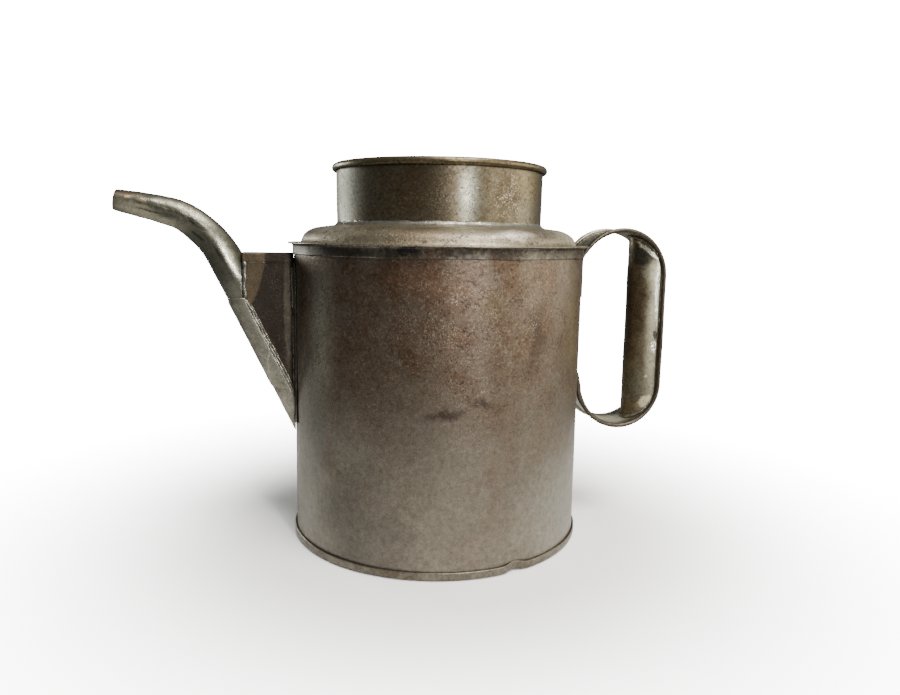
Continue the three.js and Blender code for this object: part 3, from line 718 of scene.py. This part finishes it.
def make_band():
    inside = BODY_RADIUS + LAP
    low, top = BAND_FOOT, BODY_HEIGHT
    foot_line = off_corner(inside, low, (0, 0), (0.3, -0.05), (0.55, 0.3), (0.5, 0.8))
    bm = spun(foot_line + off_corner(inside, top, (0.45, -1), (0.7, -0.35), (1, 0), (0, 0)))
    for vert in bm.verts:
        point = vert.co
        foot = ease(point.z, low + 1.5 * MM, low + 0.2 * MM)
        vert.co += outward(point) * (0.12 * MM * foot * abs(noise.noise(point / (3 * MM))))
        vert.co.z += uneven(point, 6 * MM, 0.25 * MM) * foot
    piece("top_band_lap", bm, band_finish, "top_band")


# ---------------- breast and neck
def make_breast():
    edge = FLANGE_RADIUS
    top, under = FLANGE_TOP, FLANGE_TOP - 0.95 * MM
    dome = [(72.9, 154.75), (72.45, 155.2), (72.0, 156.3), (71.5, 157.6), (70.7, 158.9),
            (69.5, 160.0), (68.0, 161.0), (66.2, 161.8), (64.0, 162.4), (61.0, 162.8),
            (57.5, 163.25), (54.4, 163.75)]
    dome = [(r * MM, z * MM) for r, z in dome]
    outline = [(72.2 * MM, under)] + [(edge - 0.4 * MM, under)]
    outline += arc((edge - 0.45 * MM, (top + under) / 2), 0.45 * MM, -70, 80, 6)
    outline += [(edge - 1.2 * MM, top), (74.5 * MM, top - 0.03 * MM)]
    outline += dome + [(53.95 * MM, 163.8 * MM), (53.95 * MM, 163.2 * MM)]
    outline += [(r - 0.35 * MM, z - 0.45 * MM) for r, z in reversed(dome[1:-1])]
    bm = spun(outline)
    for vert in bm.verts:
        point = vert.co
        radius = math.hypot(point.x, point.y)
        rim = ease(radius, 74 * MM, 79 * MM)
        vert.co += outward(point) * (0.1 * MM * (noise.noise(point / (11 * MM)) - 1) * rim)
        vert.co.z += uneven(point, 17 * MM, 0.22 * MM) * rim
        crown = ease(radius, 73 * MM, 70 * MM) * ease(radius, 55 * MM, 58 * MM)
        hammered = uneven(point, 15 * MM, 0.3 * MM, 2) + uneven(point, 5 * MM, 0.09 * MM)
        vert.co.z += hammered * crown
    piece("breast_plate", bm, breast_finish, "breast")


def make_neck():
    centre = (NECK_RADIUS + 0.25 * MM, RIM_TOP - 2 * MM)
    curl = arc(centre, 1.75 * MM, 250, -55, 30)
    wall = [(NECK_RADIUS - 0.65 * MM, 161.4 * MM), (NECK_RADIUS - 0.62 * MM, 164 * MM),
            (NECK_RADIUS - 0.4 * MM, 175 * MM), (NECK_RADIUS - 0.25 * MM, 189.6 * MM)]
    line = wall + curl
    bm = spun(shifted(line, -SHEET / 2) + shifted(line, SHEET / 2)[::-1], rows=9, row_length=8 * MM)
    for vert in bm.verts:
        point = vert.co
        out = outward(point)
        free = ease(point.z, 166 * MM, 172 * MM) * ease(point.z, 189 * MM, 184 * MM)
        vert.co += out * (uneven(point, 26 * MM, 0.16 * MM) * free)
        rolled = ease(point.z, 189.5 * MM, 191 * MM)
        vert.co += out * (0.06 * MM * (noise.noise(point / (8 * MM)) - 1) * rolled)
        vert.co.z += 0.1 * MM * (noise.noise(point / (19 * MM)) - 1) * rolled
    piece("neck_collar", bm, neck_finish, "neck")
    ring = spun(arc(centre, 1.35 * MM, 0, 330, 11), steps=192)
    piece("rim_wire_ring", ring, wire_finish, "rim_wire")
    r = NECK_RADIUS - 0.35 * MM
    fillet = spun(off_corner(r, BREAST_TOP, (0, -0.15), (1.7, -0.35), (1.0, 0.1),
                             (0.45, 0.55), (0.15, 1.2), (0, 1.6)))
    for vert in fillet.verts:
        point = vert.co
        if point.z > BREAST_TOP or math.hypot(point.x, point.y) > r + 0.6 * MM:
            vert.co += outward(point) * uneven(point, 4 * MM, 0.28 * MM)
            vert.co.z += uneven(point, 6 * MM, 0.25 * MM, 4)
    piece("neck_fillet", fillet, solder_finish, "neck_solder")


# ---------------- spout
SPOUT_ROUTE = [(59.5, 24.5), (46.8, 22.2), (32.3, 18.8), (24.3, 14.8), (19, 10.4),
               (14.5, 5.9), (10.5, 0.3), (7.4, -5.1), (2.1, -15.2), (-3.3, -25.5)]
TIP_RADIUS = 5.15 * MM
ROOT_HALF_HEIGHT = 9.7 * MM
ROOT_HALF_WIDTH = 7.6 * MM
SPOUT_STEPS = 150


def spout_size(root, t):
    return TIP_RADIUS + (root - TIP_RADIUS) * t ** 0.68


def make_spout():
    route = [(SPOUT_CUT - out * MM, BOOT_TOP + up * MM) for out, up in SPOUT_ROUTE]
    stations = smooth_line(route, SPOUT_STEPS)

    def place(u, v):
        (x, z), (dx, dz) = stations[round(v * SPOUT_STEPS)]
        angle = TURN * u
        up = spout_size(ROOT_HALF_HEIGHT, v) * math.cos(angle)
        side = spout_size(ROOT_HALF_WIDTH, v) * math.sin(angle)
        point = Vector((x - dz * up, side, z + dx * up))
        out = Vector((-dz * math.cos(angle), math.sin(angle), dx * math.cos(angle)))
        worked = ease(v, 0.02, 0.12) * ease(v, 1.0, 0.9)
        dents = uneven(point, 9 * MM, 0.28 * MM) + uneven(point, 4 * MM, 0.1 * MM, 3) - 0.05 * MM
        shift = dents * worked + spout_seam(u, v) - 0.1 * MM
        return flush_with_nose(point + out * shift, v, angle)

    bm = formed(72, SPOUT_STEPS, place, wrap=True)
    for where, facing in (((SPOUT_CUT, 0, 0), (1, 0, 0)), ((0, 0, SPOUT_END), (0, 0, -1))):
        bmesh.ops.bisect_plane(bm, geom=bm.verts[:] + bm.edges[:] + bm.faces[:],
                               plane_co=where, plane_no=facing, clear_outer=True)
    piece("spout_pipe", bm, spout_finish, "spout_tube", wall=SHEET, crease=50)


def flush_with_nose(point, v, angle):
    """Lays the pipe's lower outer side down to the nose's surface, so the joint runs smooth."""
    share = ease(v, 0.74, 0.95) * ease(-math.cos(angle), -0.3, 0.25)
    limit = NOSE_RADIUS + 0.2 * MM
    y = clamp(point.y, -limit, limit)
    depth = NOSE_RADIUS * (1 - math.sqrt(max(1 - (y / limit) ** 2, 0)))
    now = (point.x - NOSE_FOOT[0]) * INWARD[0] + (point.z - NOSE_FOOT[1]) * INWARD[1]
    shift = (depth + 0.02 * MM - now) * share
    return Vector((point.x + INWARD[0] * shift, point.y + (y - point.y) * share,
                   point.z + INWARD[1] * shift))


def spout_seam(u, v):
    """The lapped, soldered seam along the pipe's front."""
    off = (u - 0.745 - 0.02 * math.sin(7 * v)) * TURN * 7 * MM
    lap = 0.22 * MM * ease(off, -0.4 * MM, 0.1 * MM) * ease(off, 5 * MM, 1.5 * MM)
    worn = noise.noise(Vector((v * 38, 0.3, 0)))
    split = -0.35 * MM * math.exp(-(off / (0.55 * MM)) ** 2) * clamp(worn * 2.2)
    return (lap + split) * ease(v, 0.05, 0.15)


# ---------------- boot
NOSE_RISE = 70 * MM  # from the nose's foot up to the spout's lower end
NOSE_RUN = 33.24 * MM
NOSE_FOOT = (-BODY_RADIUS, SPOUT_END - NOSE_RISE)
BOOT_SLOPE = math.atan2(NOSE_RISE, NOSE_RUN)
DOWN = (math.cos(BOOT_SLOPE), -math.sin(BOOT_SLOPE))
INWARD = (math.sin(BOOT_SLOPE), math.cos(BOOT_SLOPE))
NOSE_RADIUS = 6.9 * MM
CHEEK = 6.3 * MM  # outside face of the boot's cheeks


def boot_point(up, inward):
    return (NOSE_FOOT[0] - DOWN[0] * up + INWARD[0] * inward,
            NOSE_FOOT[1] - DOWN[1] * up + INWARD[1] * inward)


def wall_x(y, gap=CUT):
    """Where the round wall stands at a given y, on the spout's side."""
    return -math.sqrt((BODY_RADIUS + gap) ** 2 - y * y)


def make_nose():
    top = SPOUT_END + 1.5 * MM

    def place(u, v):
        angle = math.pi * (clamp((u - 0.06) / 0.88) - 0.5)
        flank = 1.3 * MM * max(abs(u - 0.5) - 0.44, 0) / 0.06
        width = NOSE_RADIUS + (0.35 * MM * ease(v, 0.22, 0.0))
        depth = NOSE_RADIUS * (1 - math.cos(angle)) + flank + 0.55 * MM * ease(v, 0.045, 0.02)
        y = width * math.sin(angle)
        x0, z0 = boot_point(0, depth)
        start = (top - z0) / -DOWN[1]
        end = (NOSE_FOOT[0] - (wall_x(y) - (x0 - NOSE_FOOT[0]))) / DOWN[0]
        up = start + (end - start) * v
        point = Vector((x0 - DOWN[0] * up, y, z0 - DOWN[1] * up))
        out = Vector((-math.cos(angle) * INWARD[0], math.sin(angle), -math.cos(angle) * INWARD[1]))
        tongue = ease(v + 0.14 * abs(math.sin(angle)) ** 2, 0.66, 0.645)
        worked = uneven(point, 8 * MM, 0.16 * MM) + uneven(point, 3.2 * MM, 0.05 * MM, 6)
        return point + out * (0.3 * MM * tongue + worked * ease(v, 1, 0.9) - 0.15 * MM)

    bm = formed(40, 110, place)
    piece("boot_nose", bm, nose_finish, "spout_nose", wall=SHEET, crease=50)


def make_cheek(name, node, side):
    inward = NOSE_RADIUS + 0.8 * MM
    left = SPOUT_CUT + CUT
    top = BOOT_TOP - SHEET - LAP
    toe = boot_point(0, inward)[1] + 4 * MM
    foot_top = BOOT_TOP - 5 * MM

    def place(u, v):
        z = top + (toe - top) * v
        nose_x = boot_point((z - boot_point(0, inward)[1]) / -DOWN[1], inward)[0]
        y = CHEEK
        bend = wall_x(y, 1.0 * MM)
        start = min(max(left, nose_x), bend - 0.25 * MM)
        flat = clamp(u / 0.8)
        x = start + (bend - start) * flat
        bulge = uneven((x, side * 9 * MM, z), 17 * MM, 0.35 * MM, 1)
        bulge += uneven((x, side * 9 * MM, z), 6 * MM, 0.08 * MM, 2)
        bulge = (bulge - 0.15 * MM) * clamp((bend - start) / (4 * MM))
        y += bulge * min(4 * flat * (1.15 - flat), 1)
        if u > 0.8:
            turn = (u - 0.8) / 0.2
            width = 7 * MM * ease(z, foot_top + 0.8 * MM, foot_top - 0.5 * MM)
            y = CHEEK + width * turn
            x = wall_x(y, 0.4 * MM + 0.5 * MM * (1 - ease(turn, 0, 0.35)))
        return Vector((x, side * y, z))

    bm = formed(60, 90, place)
    piece(name, bm, cheek_finish, node, wall=SHEET, offset=0, crease=40)


def make_cap():
    left = SPOUT_CUT + 0.2 * MM
    outside = CHEEK + LAP + SHEET
    drop = 4.6 * MM

    def place(u, v):
        x_across = (u - 0.5) * 2
        run = abs(x_across) * (outside + drop)
        side = 1 if x_across > 0 else -1
        corner = 0.8 * MM
        y = min(run, outside)
        z = BOOT_TOP - SHEET / 2
        if run > outside - corner:
            t = clamp((run - outside + corner) / (2 * corner))
            y = outside - corner + corner * math.sin(t * math.pi / 2)
            z -= corner * (1 - math.cos(t * math.pi / 2)) + max(run - outside - corner, 0)
        gap = CUT + 0.9 * MM * ease(run, outside - corner, outside)
        x = left + (wall_x(min(y, outside), gap) - left) * v
        sag = uneven((x, y, z), 8 * MM, 0.15 * MM, 4) - 0.1 * MM
        if run > outside:
            y += sag
        elif run < outside:
            z += sag
        return Vector((x, side * y, z))

    bm = formed(64, 40, place)
    piece("boot_cap", bm, cheek_finish, "spout_cap", wall=SHEET * 0.9, offset=0)


def make_boot_solder(name, node, side):
    face = side * CHEEK
    normal = (0, side, 0)
    away = NOSE_RADIUS + 1.7 * MM
    left = SPOUT_CUT + 1.3 * MM
    bend = (NOSE_FOOT[0] - left + INWARD[0] * away) / DOWN[0]
    corner = boot_point(bend, away)

    def down_nose(inward, start, end):
        return [boot_point(up * MM, inward) for up in (start, (start + end) / 2, end)]

    def on_cheek(points, lift=0.0):
        return [(x, face + side * lift, z) for x, z in points]

    upright = off_corner(left, BOOT_TOP, (0, -4.4), (0.1, -14))
    upright += [(left, corner[1] + 3 * MM), corner]
    top_up = bend / MM
    runs = [
        bead(on_cheek(upright, 0.3 * MM), 2.4, 1.15, normal, 0.25, 1 + side),
        bead(on_cheek(down_nose(away, top_up + 0.5, 16), 0.15 * MM), 2.0, 0.9, normal, 0.45,
             5 + side),
        bead(on_cheek(down_nose(away + 1.3 * MM, top_up - 4, 24)), 1.1, 0.6, normal, 0.55,
             9 + side),
        bead(on_cheek(down_nose(away - 1.2 * MM, top_up - 1, 20), 0.45 * MM), 1.0, 0.5, normal,
             0.5, 12 + side),
        bead(on_cheek(off_corner(left, BOOT_TOP, (1, -4.9), (5, -4.7), (11, -5.0))), 0.9, 0.5,
             normal, 0.6, 15 + side),
        bead([(wall_x(CHEEK, 0.9 * MM), side * (CHEEK + 0.3 * MM), z * MM)
              for z in (142, 136, 128, 121)], 1.6, 0.9, (-0.5, side, 0), 0.3, 18 + side),
        bead([(wall_x(CHEEK, 0.8 * MM), side * (CHEEK + 0.4 * MM), z * MM)
              for z in (118, 100, 86, 76)], 1.0, 0.5, (-0.5, side, 0), 0.65, 21 + side),
    ]
    piece(name, joined(*runs), solder_finish, node, crease=60)


# ---------------- handle
LOOP_OUT = HANDLE_OUT - 1.25 * MM
TAIL = BODY_RADIUS + 1.2 * MM
UPPER_BEND, LOWER_BEND = 25.3 * MM, 23.6 * MM
UPPER = (LOOP_OUT - UPPER_BEND, BODY_HEIGHT - 15.2 * MM)
LOWER = (LOOP_OUT - LOWER_BEND, BODY_HEIGHT - 75.8 * MM)
EDGE_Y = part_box("handle_strap")[1].y - 1.25 * MM
UPPER_TAIL_FOOT = UPPER[1] - 11.4 * MM
LOWER_TAIL_TOP = LOWER[1] + 7.2 * MM
STRAP_STEPS = 170
WIRE_STEPS = 120
WIRE_RADIUS = 0.78 * MM


def strap_line():
    """Middle of the strap, from the foot of its upper tail round to its lower tail."""
    upper = 180 - math.degrees(math.acos((UPPER[0] - TAIL) / UPPER_BEND))
    reach = min((LOWER[0] - TAIL) / LOWER_BEND, 1)
    lower = -180 + math.degrees(math.acos(reach))
    line = [(TAIL, UPPER_TAIL_FOOT), (TAIL, UPPER_TAIL_FOOT + 8 * MM)]
    line += arc(UPPER, UPPER_BEND, upper, 0, 40)
    line += arc(LOWER, LOWER_BEND, 0, lower, 40)
    line += [(TAIL, LOWER_TAIL_TOP)]
    return line


def wrapped(x, y, z):
    """Bends the strap's tails to the round wall."""
    if z > UPPER[1]:
        share = ease(z, BODY_HEIGHT + 2 * MM, BODY_HEIGHT - 8 * MM)
    else:
        share = ease(x, TAIL + 5 * MM, TAIL + 0.5 * MM)
    share *= ease(x, TAIL + 6 * MM, TAIL + 2 * MM)
    return x + (math.sqrt(BODY_RADIUS ** 2 - y * y) - BODY_RADIUS) * share


def tail_cut(v, y):
    """The upper tail's end is cut on a slant, longest at the front edge."""
    return ease(v, 0.10, 0.0) * 9 * MM * clamp((y + EDGE_Y) / (2 * EDGE_Y)) ** 1.3


def strap_section():
    """(outward, y) across the strap: a curl round each wire and the flat between them."""
    curl = arc((0, 0), 1.05 * MM, 250, -90, 18)
    near = [(b, -EDGE_Y - a) for a, b in curl]
    near += [(-0.8 * MM, -EDGE_Y + 1.6 * MM), (-0.6 * MM, -EDGE_Y + 3 * MM)]
    near += [(-0.6 * MM, -EDGE_Y * 0.5)]
    return near + [(-0.6 * MM, 0.0)] + [(off, -y) for off, y in near[::-1]]


def make_strap():
    stations = even_line(strap_line(), STRAP_STEPS)
    section = strap_section()
    across = len(section) - 1

    def place(u, v):
        (x, z), (dx, dz) = stations[round(v * STRAP_STEPS)]
        off, y = section[round(u * across)]
        z += tail_cut(v, y)
        off += uneven((x, y, z), 22 * MM, 0.25 * MM) * ease(v, 0.12, 0.2) * ease(v, 0.95, 0.85)
        x, z = x - dz * off, z + dx * off
        return Vector((wrapped(x, y, z), y, z))

    bm = formed(across, STRAP_STEPS, place)
    piece("handle_strap_wired", bm, handle_finish, "handle_strap", wall=0.35 * MM,
          offset=0, crease=50)


def make_handle_wire(name, node, side):
    stations = even_line(strap_line(), WIRE_STEPS)

    def place(u, v):
        (x, z), (dx, dz) = stations[round(v * WIRE_STEPS)]
        angle = TURN * u
        off, y = WIRE_RADIUS * math.cos(angle), side * EDGE_Y + WIRE_RADIUS * math.sin(angle)
        z += tail_cut(v, side * EDGE_Y)
        x, z = x - dz * off, z + dx * off
        return Vector((wrapped(x, y, z), y, z))

    bm = formed(12, WIRE_STEPS, place, wrap=True)
    close_ends(bm)
    piece(name, bm, wire_finish, node)


GRIP_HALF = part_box("grip_shell")[1].y
GRIP_DEPTH = 14.4 * MM


def loop_top(x, inset):
    return UPPER[1] + math.sqrt(max((UPPER_BEND - inset) ** 2 - (x - UPPER[0]) ** 2, 0))


def loop_bottom(x, inset):
    return LOWER[1] - math.sqrt(max((LOWER_BEND - inset) ** 2 - (x - LOWER[0]) ** 2, 0))


def grip_point(u, inset=0.0):
    """(x, y) round the grip's half-oval section."""
    angle = math.pi * (u - 0.5)
    back = LOOP_OUT - 1.1 * MM
    depth = (GRIP_DEPTH - inset) * math.cos(angle) ** 0.9
    return back - depth, (GRIP_HALF - inset) * math.sin(angle)


def make_grip():
    def place(u, v):
        x, y = grip_point(u)
        low, high = loop_bottom(x, 1.2 * MM), loop_top(x, 1.2 * MM)
        z = low + (high - low) * v
        angle = math.pi * (u - 0.5)
        dents = uneven((x, y, z), 16 * MM, 0.3 * MM) + uneven((x, y, z), 5 * MM, 0.08 * MM, 3)
        dents = (dents - 0.1 * MM) * ease(v, 0, 0.08) * ease(v, 1, 0.92)
        return Vector((x - dents * math.cos(angle), y + dents * math.sin(angle) * 0.5, z))

    bm = formed(56, 130, place)
    piece("grip_half_round", bm, grip_finish, "grip_shell", wall=SHEET, crease=50)


def make_grip_solder(name, node, end):
    """A ragged run where the grip's end meets the strap."""
    line = []
    for k in range(41):
        x, y = grip_point(0.04 + 0.92 * k / 40, -0.25 * MM)
        x = min(x, HANDLE_OUT - 3.2 * MM)
        z = loop_top(x, 1.3 * MM) if end > 0 else loop_bottom(x, 1.3 * MM)
        line.append((x, y, z))
    bm = bead(line, 2.0, 0.8, (-0.3, 0, -end), 0.5, 31 + end, per_mm=2)
    piece(name, bm, solder_finish, node, crease=60)


def make_tail_solder(name, node, low, high):
    half = EDGE_Y - 2 * MM

    def place(u, v):
        y = half * (2 * u - 1)
        z = low + (high - low) * v + uneven((y, 0, v * 9 * MM), 5 * MM, 0.6 * MM) * (1 - 2 * v)
        return Vector((math.sqrt((BODY_RADIUS + 0.15 * MM) ** 2 - y * y), y, z))

    bm = formed(24, 16, place)
    piece(name, bm, solder_finish, node, wall=0.45 * MM, offset=1)


# ---------------- studio
CAMERA_SIDE = -100.5  # degrees round the can's axis, where the camera stands
CAMERA_AT = Vector((-72.0, -388.7, 157.84)) * MM


def make_floor():
    bm = bmesh.new()
    bmesh.ops.create_circle(bm, cap_ends=True, segments=128, radius=0.75)
    floor = placed("studio_floor", bm)
    pale = bpy.data.materials.new("pale_floor")
    pale.use_nodes = True
    tree = pale.node_tree
    shader = tree.nodes["Principled BSDF"]
    shader.inputs["Roughness"].default_value = 0.9
    seen = wire(tree, "LightPath").outputs["Is Camera Ray"]
    tree.links.new(blend(tree, seen, (0.62, 0.62, 0.60, 1), (0.97, 0.97, 0.96, 1)),
                   shader.inputs["Base Color"])
    far = vector_of(tree, "LENGTH", place_of(tree), (0, 0, 0))
    tree.links.new(remap(tree, far, 0.09, 0.38, 1.0, 0.0), shader.inputs["Alpha"])
    floor.data.materials.append(pale)


def add_light(name, kind, power, colour):
    light = bpy.data.lights.new(name, kind)
    light.energy, light.color = power, colour
    made = bpy.data.objects.new(name, light)
    bpy.context.scene.collection.objects.link(made)
    return made


def softbox(name, heading, height, distance, size, power, colour):
    """An area light aimed at the can; heading is degrees right of the camera."""
    made = add_light(name, "AREA", power, colour)
    made.data.shape = "RECTANGLE"
    made.data.size, made.data.size_y = size
    turn = math.radians(CAMERA_SIDE + heading)
    made.location = (distance * math.cos(turn), distance * math.sin(turn), height)
    aim = Vector((0, 0, 0.09)) - made.location
    made.rotation_euler = aim.to_track_quat("-Z", "Y").to_euler()


def daylight(heading, height, strength, softness):
    """Soft daylight from one side and above; angles in degrees."""
    made = add_light("daylight", "SUN", strength, (1.0, 0.98, 0.95))
    made.data.angle = math.radians(softness)
    turn, rise = math.radians(CAMERA_SIDE + heading), math.radians(height)
    towards = Vector((math.cos(turn) * math.cos(rise), math.sin(turn) * math.cos(rise),
                      math.sin(rise)))
    made.rotation_euler = towards.to_track_quat("Z", "Y").to_euler()


def make_camera():
    heading, pitch, roll = (math.radians(a) for a in (11.498, 8.53, 0.964))
    ahead = Vector((math.sin(heading) * math.cos(pitch), math.cos(heading) * math.cos(pitch),
                    -math.sin(pitch)))
    right = Vector((math.cos(heading), -math.sin(heading), 0))
    up = right.cross(ahead)
    side = right * math.cos(roll) + up * math.sin(roll)
    top = up * math.cos(roll) - right * math.sin(roll)
    lens = bpy.data.cameras.new("camera")
    lens.lens, lens.sensor_width = 29.2, 36.0
    lens.clip_start = 0.01
    made = bpy.data.objects.new("camera", lens)
    bpy.context.scene.collection.objects.link(made)
    made.matrix_world = Matrix.Translation(CAMERA_AT) @ Matrix(
        (side, top, -ahead)).transposed().to_4x4()
    bpy.context.scene.camera = made


def make_world():
    world = bpy.data.worlds.new("studio")
    bpy.context.scene.world = world
    world.use_nodes = True
    tree = world.node_tree
    seen = wire(tree, "LightPath").outputs["Is Camera Ray"]
    room = wire(tree, "Background", {"Color": (0.9, 0.95, 1.0, 1), "Strength": 0.16})
    backdrop = wire(tree, "Background", {"Color": (1, 1, 1, 1), "Strength": 20.0})
    mixed = wire(tree, "MixShader", {0: seen, 1: room.outputs[0], 2: backdrop.outputs[0]})
    tree.links.new(mixed.outputs[0], tree.nodes["World Output"].inputs["Surface"])


make_camera()
make_world()
make_floor()
daylight(38, 62, 4.6, 30)
softbox("key", 25, 0.5, 1.2, (0.10, 0.9), 12, (1.0, 0.98, 0.94))
softbox("right_wall", 84, 0.4, 1.3, (1.7, 0.9), 18, (1.0, 0.94, 0.76))
softbox("left_back", -124, 0.24, 1.0, (0.12, 0.34), 5, (0.96, 0.98, 0.88))
softbox("overhead", 100, 1.5, 0.5, (1.0, 1.0), 8, (1.0, 0.98, 0.92))

make_body()
make_base()
make_band()
make_breast()
make_neck()
make_spout()
make_nose()
make_cheek("boot_cheek_front", "spout_cheek_front", -1)
make_cheek("boot_cheek_back", "spout_cheek_back", 1)
make_cap()
make_boot_solder("boot_solder_front", "spout_solder_front", -1)
make_boot_solder("boot_solder_back", "spout_solder_back", 1)
make_strap()
make_handle_wire("edge_wire_front", "handle_wire_front", -1)
make_handle_wire("edge_wire_back", "handle_wire_back", 1)
make_grip()
make_grip_solder("grip_solder_upper", "grip_solder_top", 1)
make_grip_solder("grip_solder_lower", "grip_solder_bottom", -1)
make_tail_solder("tail_solder_upper", "handle_solder_top", UPPER_TAIL_FOOT + 10 * MM,
                 BAND_FOOT - 0.5 * MM)
make_tail_solder("tail_solder_lower", "handle_solder_bottom", LOWER[1], LOWER_TAIL_TOP)
